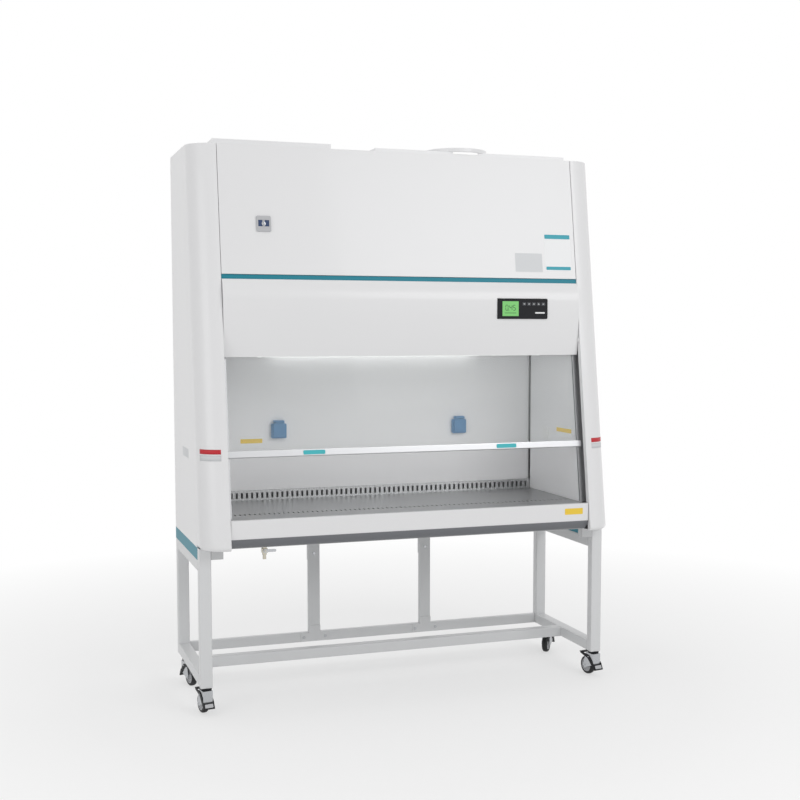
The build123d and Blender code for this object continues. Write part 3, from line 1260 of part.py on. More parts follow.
def blower_impeller():
    """Double-inlet impeller: hub, centre disc, a ring of curved blades and two end rings."""
    wheel = rod(FAN_HUB_RADIUS, FAN_WIDTH / 2) + rod(FAN_RADIUS, FAN_DISC)
    for side in (-1, 1):
        ring = rod(FAN_RADIUS, FAN_DISC) - rod(FAN_RADIUS - 14, 2 * FAN_DISC)
        wheel += Pos(side * (FAN_WIDTH - FAN_DISC) / 2, 0, 0) * ring
    blade = Box(FAN_BLADE_CHORD, FAN_BLADE_THICKNESS, FAN_WIDTH - FAN_DISC)
    for index in range(FAN_BLADES):
        turn = Rot(0, 0, 360.0 * index / FAN_BLADES)
        place = Pos(FAN_RADIUS - FAN_BLADE_CHORD / 2, 0, 0) * Rot(0, 0, 24)
        wheel += Rot(0, 90, 0) * turn * place * blade
    wheel -= rod(FAN_SHAFT_RADIUS + RUNNING_CLEARANCE, FAN_WIDTH)
    return Pos(0, FAN_Y, FAN_Z) * wheel


def blower_motor():
    """Motor beside the scroll with its shaft through the impeller and a pedestal on the plenum."""
    x0 = SCROLL_WIDTH / 2 + MOTOR_GAP
    x1 = x0 + MOTOR_LENGTH
    body = Pos((x0 + x1) / 2, 0, 0) * rod(MOTOR_RADIUS, MOTOR_LENGTH)
    body = fillet(body.edges().filter_by(GeomType.CIRCLE), 8.0)
    length = x0 + FAN_WIDTH / 2
    body += Pos(x0 - length / 2 + 4, 0, 0) * rod(FAN_SHAFT_RADIUS, length + 8)
    motor = Pos(0, FAN_Y, FAN_Z) * body
    foot = FILTER_Z + FILTER_HEIGHT + PLENUM_HEIGHT
    motor += block(x0 + 20, x1 - 20, FAN_Y - 40, FAN_Y + 40, foot, FAN_Z - MOTOR_RADIUS + 12)
    return motor


def lamps():
    """Working lamp behind the front panel and germicidal lamp at the rear, each in two holders."""
    pieces = []
    for y, length in ((LAMP_Y, LAMP_LENGTH), (UV_LAMP_Y, UV_LAMP_LENGTH)):
        z = CEILING_Z - LAMP_DROP
        pieces.append(Pos(0, y, z) * rod(LAMP_RADIUS, length))
        for side in (-1, 1):
            x = side * (length + LAMP_HOLDER_LENGTH) / 2
            half = LAMP_HOLDER_LENGTH / 2
            pieces.append(block(x - half, x + half, y - LAMP_RADIUS, y + LAMP_RADIUS, z - LAMP_RADIUS, CEILING_Z))
    return pieces


# Drain

def drain_valve():
    """Drain valve under the base pan: neck, square body, hose outlet and the stem of the lever."""
    z_body = BASE_Z - DRAIN_DROP / 2
    half = DRAIN_BODY_SIZE / 2
    valve = Cylinder(DRAIN_PIPE_RADIUS, DRAIN_DROP)
    valve += Box(DRAIN_BODY_SIZE, DRAIN_BODY_SIZE, DRAIN_BODY_SIZE * 0.8)
    outlet_z = -(DRAIN_DROP + DRAIN_OUTLET_LENGTH) / 2
    valve += Pos(0, 0, outlet_z) * Cylinder(DRAIN_OUTLET_RADIUS, DRAIN_OUTLET_LENGTH)
    valve += Pos(0, -half - 5, 0) * rod(STEM_RADIUS, 10, "y")
    valve -= Pos(0, 0, outlet_z) * Cylinder(DRAIN_OUTLET_BORE, DRAIN_OUTLET_LENGTH * 1.4)
    return Pos(DRAIN_X, DRAIN_Y, z_body) * valve


def drain_lever():
    """Flat lever with a round hub on the valve's stem."""
    half = DRAIN_BODY_SIZE / 2
    hub = rod(LEVER_HUB_RADIUS, 6, "y")
    arm = Pos(LEVER_LENGTH / 2, 1.5, 0) * Box(LEVER_LENGTH, LEVER_THICKNESS, LEVER_WIDTH)
    arm = fillet(arm.edges().filter_by(Axis.Y).sort_by(Axis.X)[-2:], 4.0)
    lever = hub + arm - rod(STEM_RADIUS + RUNNING_CLEARANCE, 20, "y")
    return Pos(DRAIN_X, DRAIN_Y - half - 4.5, BASE_Z - DRAIN_DROP / 2) * lever


def all_nodes():
    """Every named piece of the cabinet."""
    nodes = {
        "stand_legs": stand_legs(),
        "stand_side_rails": stand_side_rails(),
        "stand_cross_rails": stand_cross_rails(),
        "stand_rear_posts": stand_rear_posts(),
        "stand_bolts": stand_bolts(),
        "base_side_beams": base_side_beams(),
        "base_pan": base_pan(),
        "front_sill": front_sill(),
        "side_panels": side_panels(),
        "rear_panel": rear_panel(),
        "top_panel": top_panel(),
        "exhaust_collar": exhaust_collar(),
        "corner_covers": corner_covers(),
        "upper_front_panel": upper_front_panel(),
        "trim_strip": trim_strip(),
        "lower_front_panel": lower_front_panel(),
        "control_bezel": control_bezel(),
        "display_window": display_window(),
        "key_switch_bezel": key_switch_bezel(),
        "key_barrel": key_barrel(),
        "work_surface": work_surface(),
        "rear_slot_panel": rear_slot_panel(),
        "chamber_liner": chamber_liner(),
        "service_port_cap": service_port_cap(),
        "ceiling_diffuser": ceiling_diffuser(),
        "socket_boxes": [socket_box("left"), socket_box("right")],
        "socket_lid_left": socket_lid("left"),
        "socket_lid_right": socket_lid("right"),
        "sash_glass": sash_glass(),
        "sash_handle_rail": sash_handle_rail(),
        "sash_grips": sash_grips(),
        "sash_guides": sash_guides(),
        "sash_racks": sash_racks(),
        "sash_pinion_shaft": sash_pinion_shaft(),
        "sash_drive_motor": sash_drive_motor(),
        "hepa_filters": hepa_filters(),
        "blower_housing": blower_housing(),
        "blower_impeller": blower_impeller(),
        "blower_motor": blower_motor(),
        "lamps": lamps(),
        "drain_valve": drain_valve(),
        "drain_lever": drain_lever(),
    }
    for index, x in enumerate(key_xs()):
        nodes[f"key_{index + 1}"] = key_cap(x)
    bearings = []
    for name in CASTER_YAWS:
        place = caster_place(name)
        bearings.append(place * caster_bearing())
        nodes[f"caster_fork_{name}"] = place * caster_fork()
        nodes[f"caster_wheel_{name}"] = [place * solid for solid in caster_wheel()]
        nodes[f"caster_rocker_{name}"] = place * caster_rocker()
    nodes["caster_bearings"] = bearings
    return nodes


for node_name, solids in all_nodes().items():
    shape = Compound(children=list(solids)) if isinstance(solids, list) else solids
    export_step(shape, f"parts/{node_name}.step")
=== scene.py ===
"""Looks of a wide biosafety cabinet with a leaning front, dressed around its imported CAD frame."""

from __future__ import annotations

import json
import logging
import math
from dataclasses import dataclass, field
from enum import Enum

import bmesh
import bpy
from mathutils import Matrix, Vector

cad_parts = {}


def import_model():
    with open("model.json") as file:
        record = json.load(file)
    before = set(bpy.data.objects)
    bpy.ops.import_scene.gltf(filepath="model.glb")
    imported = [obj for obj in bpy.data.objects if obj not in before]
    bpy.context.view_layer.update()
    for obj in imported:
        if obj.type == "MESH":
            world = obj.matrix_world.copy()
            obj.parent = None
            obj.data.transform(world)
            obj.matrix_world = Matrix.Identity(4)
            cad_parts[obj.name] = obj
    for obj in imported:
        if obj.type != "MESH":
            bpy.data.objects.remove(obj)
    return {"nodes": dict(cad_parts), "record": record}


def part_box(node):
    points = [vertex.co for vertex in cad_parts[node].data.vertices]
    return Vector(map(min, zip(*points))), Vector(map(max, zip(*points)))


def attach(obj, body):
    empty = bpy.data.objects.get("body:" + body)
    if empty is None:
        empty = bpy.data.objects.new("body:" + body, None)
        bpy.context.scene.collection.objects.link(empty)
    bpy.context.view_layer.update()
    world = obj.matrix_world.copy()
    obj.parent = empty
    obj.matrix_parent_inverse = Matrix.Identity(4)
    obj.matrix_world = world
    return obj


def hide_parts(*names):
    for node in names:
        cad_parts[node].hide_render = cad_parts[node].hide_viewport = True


LOG = logging.getLogger("cabinet")
MM = 0.001

# Turns that make a plate lying flat face the front or the left of the cabinet.
FACING_FRONT = Matrix.Rotation(math.pi / 2, 4, "X")
FACING_LEFT = FACING_FRONT @ Matrix.Rotation(-math.pi / 2, 4, "Y")

# Shared by all finishes: how fine the grain goes, how slowly the tone drifts, how glossy a coat is.
GRAIN_DETAIL = 3.0
GRAIN_ROUGHNESS = 0.55
DRIFT_PER_METRE = 3.0
DRIFT_DETAIL = 2.0
COAT_ROUGHNESS = 0.08
LEAST_ROUGHNESS = 0.02
EDGE_SAMPLES = 4

# A plate's front edge is softened by the smaller of these shares of its thickness and its corner.
EDGE_BY_THICKNESS = 0.4
EDGE_BY_CORNER = 0.5
LEAST_CORNER_MM = 0.05

# Turned shapes: points closer than this are one, and edges sharper than this stay crisp.
LATHE_MERGE_M = 1e-6
LATHE_SMOOTH_ANGLE = 35.0


class Body(Enum):
    """CAD bodies that the pieces ride on."""

    CABINET = "cabinet"
    FRONT_PANEL = "front_panel"


class Caster(Enum):
    """The four casters: place of the swivel axis in mm and yaw of the trail in degrees."""

    FRONT_LEFT = ("front_left", -856.0, -230.0, 10.0)
    FRONT_RIGHT = ("front_right", 856.0, -230.0, 12.0)
    REAR_LEFT = ("rear_left", -856.0, 230.0, 195.0)
    REAR_RIGHT = ("rear_right", 856.0, 230.0, 140.0)


def srgb(hex_code: str, alpha: float = 1.0) -> tuple[float, float, float, float]:
    """Turn an sRGB hex colour into linear values.

    Args:
        hex_code: Six hex digits, with or without a leading hash.
        alpha: Opacity that goes with the colour.

    Returns:
        Linear red, green and blue, and the alpha.
    """
    digits = hex_code.lstrip("#")
    channels = [int(digits[i:i + 2], 16) / 255 for i in (0, 2, 4)]
    linear = [c / 12.92 if c <= 0.04045 else ((c + 0.055) / 1.055) ** 2.4 for c in channels]
    return linear[0], linear[1], linear[2], alpha


def add_node(tree: bpy.types.NodeTree, kind: str, settings: dict | None = None,
             values: dict | None = None, links: dict | None = None) -> bpy.types.Node:
    """Add one node with its settings, socket values and incoming links.

    Args:
        tree: Node tree that receives the node.
        kind: Blender's type name of the node.
        settings: Attributes of the node, by name.
        values: Default values of input sockets, by socket name or index.
        links: Output sockets to connect, by input socket name or index.

    Returns:
        The new node.
    """
    node = tree.nodes.new(kind)
    for name, value in (settings or {}).items():
        setattr(node, name, value)
    for key, value in (values or {}).items():
        node.inputs[key].default_value = value
    for key, socket in (links or {}).items():
        tree.links.new(socket, node.inputs[key])
    return node


@dataclass(frozen=True)
class Finish:
    """A surface finish that becomes one procedural material.

    Every pattern size is in millimetres on the object. stretch squeezes the pattern along X, Y
    and Z, so that values above 1 make it finer on that axis. edge is the radius of the softened
    edges that catch light.
    """

    name: str
    colour: str
    roughness: float
    metallic: float = 0.0
    grain_mm: float = 2.0
    grain_depth_mm: float = 0.02
    stretch: tuple[float, float, float] = (1.0, 1.0, 1.0)
    tone_spread: float = 0.02
    roughness_spread: float = 0.05
    edge_mm: float = 1.0
    coat: float = 0.0
    alpha: float = 1.0
    specular: float = 0.5
    glow: float = 0.0

    def build(self) -> bpy.types.Material:
        """Build the material, or find it when it's already there.

        Returns:
            The material.
        """
        found = bpy.data.materials.get(self.name)
        if found:
            return found
        material = bpy.data.materials.new(self.name)
        material.use_nodes = True
        tree = material.node_tree
        tree.nodes.clear()
        place = add_node(tree, "ShaderNodeTexCoord")
        mapped = add_node(tree, "ShaderNodeMapping", values={"Scale": self.stretch},
                          links={"Vector": place.outputs["Object"]})
        grain = add_node(tree, "ShaderNodeTexNoise",
                         values={"Scale": 1.0 / (self.grain_mm * MM), "Detail": GRAIN_DETAIL,
                                 "Roughness": GRAIN_ROUGHNESS},
                         links={"Vector": mapped.outputs["Vector"]})
        drift = add_node(tree, "ShaderNodeTexNoise",
                         values={"Scale": DRIFT_PER_METRE, "Detail": DRIFT_DETAIL},
                         links={"Vector": place.outputs["Object"]})
        red, green, blue, _ = srgb(self.colour)
        low = [c * (1.0 - self.tone_spread) for c in (red, green, blue)]
        high = [min(1.0, c * (1.0 + self.tone_spread)) for c in (red, green, blue)]
        tone = add_node(tree, "ShaderNodeMix", {"data_type": "RGBA"},
                        values={6: (*low, 1.0), 7: (*high, 1.0)}, links={0: drift.outputs["Fac"]})
        rough = add_node(tree, "ShaderNodeMapRange",
                         values={"To Min": max(LEAST_ROUGHNESS, self.roughness - self.roughness_spread),
                                 "To Max": min(1.0, self.roughness + self.roughness_spread)},
                         links={"Value": grain.outputs["Fac"]})
        edge = add_node(tree, "ShaderNodeBevel", {"samples": EDGE_SAMPLES},
                        values={"Radius": self.edge_mm * MM})
        bump = add_node(tree, "ShaderNodeBump",
                        values={"Distance": self.grain_depth_mm * MM, "Strength": 1.0},
                        links={"Height": grain.outputs["Fac"], "Normal": edge.outputs["Normal"]})
        shader = add_node(tree, "ShaderNodeBsdfPrincipled",
                          values={"Metallic": self.metallic, "Coat Weight": self.coat,
                                  "Specular IOR Level": self.specular, "Alpha": self.alpha,
                                  "Coat Roughness": COAT_ROUGHNESS},
                          links={"Base Color": tone.outputs[2], "Roughness": rough.outputs["Result"],
                                 "Normal": bump.outputs["Normal"]})
        if self.glow:
            shader.inputs["Emission Color"].default_value = (red, green, blue, 1.0)
            shader.inputs["Emission Strength"].default_value = self.glow
        add_node(tree, "ShaderNodeOutputMaterial", links={"Surface": shader.outputs["BSDF"]})
        return material


# Polyester powder coat: a faint orange peel about 3 mm across and a soft sheen.
WHITE_COAT = Finish("polyester_powder_coat_white", "EDEDEE", 0.36, grain_mm=3.0, grain_depth_mm=0.012,
                    tone_spread=0.006, coat=0.15)
STAND_COAT = Finish("polyester_powder_coat_stand", "DFE0E1", 0.40, grain_mm=2.5, grain_depth_mm=0.014,
                    tone_spread=0.008, coat=0.1)
TEAL_COAT = Finish("powder_coat_teal", "1C8598", 0.42, grain_mm=2.5, grain_depth_mm=0.012,
                   tone_spread=0.02, specular=0.3)
# Number 4 polish on stainless sheet: fine lines along the width, drawn 0.8 mm apart so that they show.
STAINLESS = Finish("brushed_stainless_304", "B4B5B6", 0.36, metallic=1.0, grain_mm=0.8,
                   grain_depth_mm=0.006, stretch=(0.02, 1.0, 1.0), tone_spread=0.02, roughness_spread=0.10)
# The rolled underside of the sill is given a dark grey finish, a band below the white.
DARK_SILL_UNDERSIDE = Finish("dark_grey_sill_underside", "77797D", 0.45, metallic=0.6, grain_mm=0.8,
                        grain_depth_mm=0.002, stretch=(0.02, 1.0, 1.0), tone_spread=0.02,
                        roughness_spread=0.04)
# The walls of the chamber are the same sheet; their near-white colour is painted light, a painted
# reflection of the lit room.
WALL_PAINTED_REFLECTION = Finish("satin_wall_painted_reflection", "F3F3F4", 0.50, metallic=0.1, grain_mm=0.8,
                        grain_depth_mm=0.0006, stretch=(0.02, 0.02, 1.0), tone_spread=0.01,
                        roughness_spread=0.02)
GALVANISED = Finish("hot_dip_galvanised_sheet", "A9ADB0", 0.45, metallic=1.0, grain_mm=9.0,
                    grain_depth_mm=0.01, tone_spread=0.10, roughness_spread=0.12)
ZINC = Finish("bright_zinc_plate", "BFC1C4", 0.28, metallic=1.0, grain_mm=1.5, grain_depth_mm=0.008,
              tone_spread=0.05, roughness_spread=0.10, edge_mm=0.6)
ANODISED = Finish("satin_anodised_aluminium", "C9CACC", 0.34, metallic=0.9, grain_mm=0.6,
                  grain_depth_mm=0.004, stretch=(0.03, 1.0, 1.0), tone_spread=0.015, edge_mm=0.8)
MACHINED = Finish("turned_carbon_steel", "8C8F92", 0.30, metallic=1.0, grain_mm=0.5,
                  grain_depth_mm=0.006, stretch=(8.0, 1.0, 1.0), tone_spread=0.04, edge_mm=0.4)
BLACK_ABS = Finish("moulded_abs_black", "17181C", 0.42, grain_mm=0.6, grain_depth_mm=0.02,
                   tone_spread=0.06, edge_mm=0.8, specular=0.2)
GREY_ABS = Finish("moulded_abs_grey", "BDBEC1", 0.42, grain_mm=0.6, grain_depth_mm=0.02,
                  tone_spread=0.02, edge_mm=0.8)
KEY_ABS = Finish("moulded_abs_key", "3A3D42", 0.40, grain_mm=0.5, grain_depth_mm=0.015,
                 tone_spread=0.04, edge_mm=0.6)
WHITE_ABS = Finish("moulded_abs_white", "F2F2F1", 0.38, grain_mm=0.6, grain_depth_mm=0.015,
                   tone_spread=0.01, edge_mm=0.8)
TEAL_ABS = Finish("moulded_abs_teal", "3FBAC2", 0.40, grain_mm=0.6, grain_depth_mm=0.02,
                  tone_spread=0.02, edge_mm=0.8)
BLUE_ABS = Finish("moulded_abs_blue", "4A87B8", 0.40, grain_mm=0.6, grain_depth_mm=0.02,
                  tone_spread=0.03, edge_mm=1.0)
NAVY_ABS = Finish("moulded_abs_navy", "1B3A66", 0.30, grain_mm=0.5, grain_depth_mm=0.01,
                  tone_spread=0.03, edge_mm=0.4)
# Backlit liquid crystal window: a smooth film that glows a little.
DISPLAY_FILM = Finish("backlit_display_film", "7ECB74", 0.22, grain_mm=1.0, grain_depth_mm=0.002,
                      tone_spread=0.05, glow=0.12, edge_mm=0.3)
SEGMENT_INK = Finish("display_segment_ink", "123C20", 0.35, grain_mm=0.5, grain_depth_mm=0.002,
                     tone_spread=0.02, edge_mm=0.1)
# Float glass of the sash: almost clear, with a breath of green.
CLEAR_GLASS = Finish("laminated_float_glass", "E4ECEB", 0.04, grain_mm=60.0, grain_depth_mm=0.001,
                     tone_spread=0.0, roughness_spread=0.01, alpha=0.07, specular=0.6, edge_mm=0.3)
TREAD_RUBBER = Finish("moulded_rubber_tread", "1C1D1F", 0.62, grain_mm=0.9, grain_depth_mm=0.05,
                      tone_spread=0.12, roughness_spread=0.08, edge_mm=0.8)
FILTER_PAPER = Finish("glass_fibre_filter_paper", "F1F1EC", 0.85, grain_mm=0.7, grain_depth_mm=0.05,
                      tone_spread=0.02, edge_mm=0.3)
LAMP_TUBE = Finish("phosphor_coated_tube", "F4F6F4", 0.25, grain_mm=5.0, grain_depth_mm=0.002,
                   tone_spread=0.01, glow=1.6, edge_mm=0.3)
NICKEL = Finish("nickel_plated_brass", "C7C2B4", 0.26, metallic=1.0, grain_mm=1.2, grain_depth_mm=0.006,
                tone_spread=0.04, edge_mm=0.5)
# Self-adhesive polyester film with a matt top.
WHITE_FILM = Finish("polyester_label_white", "F6F7F8", 0.46, grain_mm=1.2, grain_depth_mm=0.004,
                    tone_spread=0.004, edge_mm=0.2)
GREY_FILM = Finish("polyester_label_grey", "D9DBDD", 0.46, grain_mm=1.2, grain_depth_mm=0.004,
                   tone_spread=0.006, edge_mm=0.2)
TEAL_FILM = Finish("polyester_label_teal", "2FA3B4", 0.46, grain_mm=1.2, grain_depth_mm=0.004,
                   tone_spread=0.01, edge_mm=0.2)
YELLOW_FILM = Finish("polyester_label_yellow", "F7D244", 0.46, grain_mm=1.2, grain_depth_mm=0.004,
                     tone_spread=0.01, edge_mm=0.2)
RED_FILM = Finish("polyester_film_red", "C6202C", 0.44, grain_mm=1.2, grain_depth_mm=0.004,
                  tone_spread=0.01, edge_mm=0.2)

NODE_FINISH: dict[str, Finish] = {
    "stand_legs": STAND_COAT, "stand_side_rails": STAND_COAT, "stand_cross_rails": STAND_COAT,
    "stand_rear_posts": STAND_COAT, "stand_bolts": ZINC, "base_side_beams": TEAL_COAT,
    "base_pan": STAINLESS, "side_panels": WHITE_COAT, "rear_panel": WHITE_COAT, "top_panel": WHITE_COAT,
    "upper_front_panel": WHITE_COAT, "trim_strip": TEAL_COAT, "control_bezel": BLACK_ABS,
    "display_window": DISPLAY_FILM, "key_switch_bezel": GREY_ABS, "key_barrel": ZINC,
    "work_surface": STAINLESS, "rear_slot_panel": STAINLESS, "chamber_liner": WALL_PAINTED_REFLECTION,
    "service_port_cap": WHITE_ABS, "ceiling_diffuser": WHITE_COAT, "socket_boxes": BLUE_ABS,
    "socket_lid_left": BLUE_ABS, "socket_lid_right": BLUE_ABS, "sash_glass": CLEAR_GLASS,
    "sash_handle_rail": ANODISED, "sash_grips": TEAL_ABS, "sash_guides": ANODISED,
    "sash_racks": GREY_ABS, "sash_pinion_shaft": MACHINED, "sash_drive_motor": BLACK_ABS,
    "hepa_filters": FILTER_PAPER, "blower_housing": GALVANISED, "blower_impeller": GALVANISED,
    "blower_motor": MACHINED, "lamps": LAMP_TUBE, "drain_valve": NICKEL, "drain_lever": ZINC,
    "caster_bearings": BLACK_ABS, "front_sill": WHITE_COAT, "corner_covers": WHITE_COAT,
    "lower_front_panel": WHITE_COAT, "exhaust_collar": WHITE_COAT,
}


@dataclass
class Frame:
    """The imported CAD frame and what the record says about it."""

    nodes: dict[str, bpy.types.Object]
    bodies: dict[str, list[str]]
    slots: dict[str, str]

    @classmethod
    def load(cls) -> Frame:
        """Load the frame and index its record.

        Returns:
            The frame.
        """
        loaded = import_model()
        record = loaded["record"]
        slots = {part["node"]: part["material_slot"] for part in record["subparts"]}
        return cls(loaded["nodes"], record["behaviour"]["bodies"], slots)

    def body_of(self, node: str) -> str:
        """Name of the body that holds a node."""
        return next(body for body, members in self.bodies.items() if node in members)

    def paint(self, node: str, finish: Finish) -> None:
        """Give a CAD node its finish.

        Args:
            node: Name of the node.
            finish: Finish of the whole node.
        """
        mesh = self.nodes[node].data
        mesh.materials.clear()
        mesh.materials.append(finish.build())


@dataclass(frozen=True)
class Face:
    """The leaning front plane of the corner covers, in mm."""

    front_y: float = -355.0
    base_z: float = 667.0
    lean: float = math.radians(8.4)

    def y_at(self, z: float) -> float:
        """Y of the plane at height z."""
        return self.front_y + (z - self.base_z) * math.tan(self.lean)

    def at(self, x: float, z: float, behind: float) -> Matrix:
        """Frame on the leaning surface, its Z pointing out of the front.

        Args:
            x: Place across the cabinet in mm.
            z: Height in mm.
            behind: Level distance behind the plane in mm.

        Returns:
            Matrix from local metres to the cabinet's frame.
        """
        turn = Matrix.Rotation(math.pi / 2 - self.lean, 4, "X")
        return Matrix.Translation(Vector((x, self.y_at(z) + behind, z)) * MM) @ turn


FACE = Face()


def stood(x: float, y: float, z: float, turn: Matrix) -> Matrix:
    """Frame at a point in mm that faces the way a turn gives."""
    return Matrix.Translation(Vector((x, y, z)) * MM) @ turn


def settled(piece: bpy.types.Object) -> bpy.types.Mesh:
    """Plain mesh of an object with its modifiers worked in."""
    graph = bpy.context.evaluated_depsgraph_get()
    return bpy.data.meshes.new_from_object(piece.evaluated_get(graph), depsgraph=graph)


def work_in(piece: bpy.types.Object) -> None:
    """Work an object's modifiers into its mesh and remove them.

    Args:
        piece: Object to change.
    """
    mesh = settled(piece)
    piece.modifiers.clear()
    piece.data = mesh


def finished(name: str, mesh: bpy.types.Mesh, finish: Finish, body: str) -> bpy.types.Object:
    """Wrap a mesh that is already in place as a named piece that rides on a body.

    Args:
        name: Name of the piece.
        mesh: Mesh in the cabinet's frame.
        finish: Finish of the whole piece.
        body: CAD body that carries it.

    Returns:
        The new object, standing at the origin.
    """
    mesh.name = name
    mesh.materials.clear()
    mesh.materials.append(finish.build())
    piece = bpy.data.objects.new(name, mesh)
    bpy.context.scene.collection.objects.link(piece)
    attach(piece, body)
    LOG.info("piece %s: %d faces on %s", name, len(mesh.polygons), body)
    return piece


def mesh_from(bm: bmesh.types.BMesh, name: str, smooth_angle: float = 30.0) -> bpy.types.Mesh:
    """Close a bmesh into a mesh whose faces are smooth below an angle.

    Args:
        bm: Finished bmesh, freed here.
        name: Name of the mesh.
        smooth_angle: Edges sharper than this, in degrees, stay crisp.

    Returns:
        The mesh.
    """
    bmesh.ops.recalc_face_normals(bm, faces=bm.faces)
    mesh = bpy.data.meshes.new(name)
    bm.to_mesh(mesh)
    bm.free()
    mesh.shade_smooth()
    mesh.set_sharp_from_angle(angle=math.radians(smooth_angle))
    return mesh


def rounded_outline(width: float, height: float, radius: float,
                    steps: int = 6) -> list[tuple[float, float]]:
    """Corner points of a rounded rectangle round the origin.

    Args:
        width: Size along the first axis in mm.
        height: Size along the second axis in mm.
        radius: Corner radius in mm.
        steps: Segments in each corner.

    Returns:
        Points in metres, counter-clockwise.
    """
    points = []
    for index, (sx, sy) in enumerate(((1, 1), (-1, 1), (-1, -1), (1, -1))):
        centre = (sx * (width / 2 - radius), sy * (height / 2 - radius))
        for step in range(steps + 1):
            angle = math.pi / 2 * (index + step / steps)
            points.append(((centre[0] + radius * math.cos(angle)) * MM,
                           (centre[1] + radius * math.sin(angle)) * MM))
    return points


def plate_mesh(name: str, place: Matrix, width: float, height: float, thickness: float,
               radius: float) -> bpy.types.Mesh:
    """Flat plate with rounded corners and a softened front edge.

    Args:
        name: Name of the mesh.
        place: Frame at the middle of the plate's back, Z pointing to the front.
        width: Width in mm.
        height: Height in mm.
        thickness: Thickness in mm.
        radius: Corner radius in mm.

    Returns:
        Mesh in the cabinet's frame.
    """
    bm = bmesh.new()
    soften = min(thickness * EDGE_BY_THICKNESS, radius * EDGE_BY_CORNER)
    rings = []
    levels = ((0.0, 0.0), (thickness - soften, 0.0), (thickness, soften))
    for level, inset in levels:
        outline = rounded_outline(width - 2 * inset, height - 2 * inset,
                                  max(LEAST_CORNER_MM, radius - inset))
        rings.append([bm.verts.new(place @ Vector((x, y, level * MM))) for x, y in outline])
    for lower, upper in zip(rings, rings[1:]):
        for i in range(len(lower)):
            j = (i + 1) % len(lower)
            bm.faces.new((lower[i], lower[j], upper[j], upper[i]))
    bm.faces.new(rings[-1])
    bm.faces.new(list(reversed(rings[0])))
    return mesh_from(bm, name)


def lathe_mesh(name: str, place: Matrix, profile: list[tuple[float, float]],
               steps: int = 48) -> bpy.types.Mesh:
    """Turn a closed profile of (axial, radius) points round the local X axis.

    Args:
        name: Name of the mesh.
        place: Frame whose X axis is the axis of turning.
        profile: Points in mm; those on the axis have radius 0.
        steps: Segments round the axis.

    Returns:
        Mesh in the cabinet's frame.
    """
    bm = bmesh.new()
    rings = []
    for step in range(steps):
        angle = 2 * math.pi * step / steps
        rings.append([bm.verts.new(place @ (Vector((x, r * math.cos(angle), r * math.sin(angle))) * MM))
                      for x, r in profile])
    count = len(profile)
    for step in range(steps):
        here, there = rings[step], rings[(step + 1) % steps]
        for i in range(count):
            j = (i + 1) % count
            bm.faces.new((here[i], here[j], there[j], there[i]))
    bmesh.ops.remove_doubles(bm, verts=bm.verts, dist=LATHE_MERGE_M)
    return mesh_from(bm, name, LATHE_SMOOTH_ANGLE)


@dataclass
class PressedSheet:
    """CAD sheet-metal nodes whose curved faces are shown smooth and whose edges are softened.

    A copy of the node's mesh is merged, its flat faces are joined and its sharp edges get a small
    round, as a folded and painted sheet has.
    """

    nodes: dict[str, float] = field(default_factory=lambda: {
        "corner_covers": 1.2, "front_sill": 1.0, "lower_front_panel": 1.2, "exhaust_collar": 0.6,
    })
    merge_m: float = 1e-5
    flat_angle: float = 0.5
    smooth_angle: float = 24.0
    round_angle: float = 50.0
    round_steps: int = 2
    underside_top: float = 713.0

    def build(self, frame: Frame) -> None:
        """Build one smooth copy per node.

        Args:
            frame: The loaded CAD frame.
        """
        for node, width in self.nodes.items():
            bm = bmesh.new()
            bm.from_mesh(frame.nodes[node].data)
            bmesh.ops.remove_doubles(bm, verts=bm.verts, dist=self.merge_m)
            bmesh.ops.dissolve_limit(bm, angle_limit=math.radians(self.flat_angle), verts=bm.verts,
                                     edges=bm.edges)
            mesh = mesh_from(bm, f"{node}_sheet", self.smooth_angle)
            piece = finished(f"{node}_sheet", mesh, NODE_FINISH[node], frame.body_of(node))
            self.soften(piece, width)
            if node == "front_sill":
                self.underside(piece)
            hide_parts(node)

    def underside(self, piece: bpy.types.Object) -> None:
        """Give the rolled underside of the sill a dark grey finish.

        Args:
            piece: The sill's smooth copy.
        """
        mesh = piece.data
        mesh.materials.append(DARK_SILL_UNDERSIDE.build())
        for face in mesh.polygons:
            if face.center.z < self.underside_top * MM:
                face.material_index = 1

    def soften(self, piece: bpy.types.Object, width: float) -> None:
        """Round the sharp edges of a piece.

        Args:
            piece: Piece to change.
            width: Width of the round in mm.
        """
        bevel = piece.modifiers.new("edge_round", "BEVEL")
        bevel.width = width * MM
        bevel.segments = self.round_steps
        bevel.limit_method = "ANGLE"
        bevel.angle_limit = math.radians(self.round_angle)
        bevel.harden_normals = True
        work_in(piece)


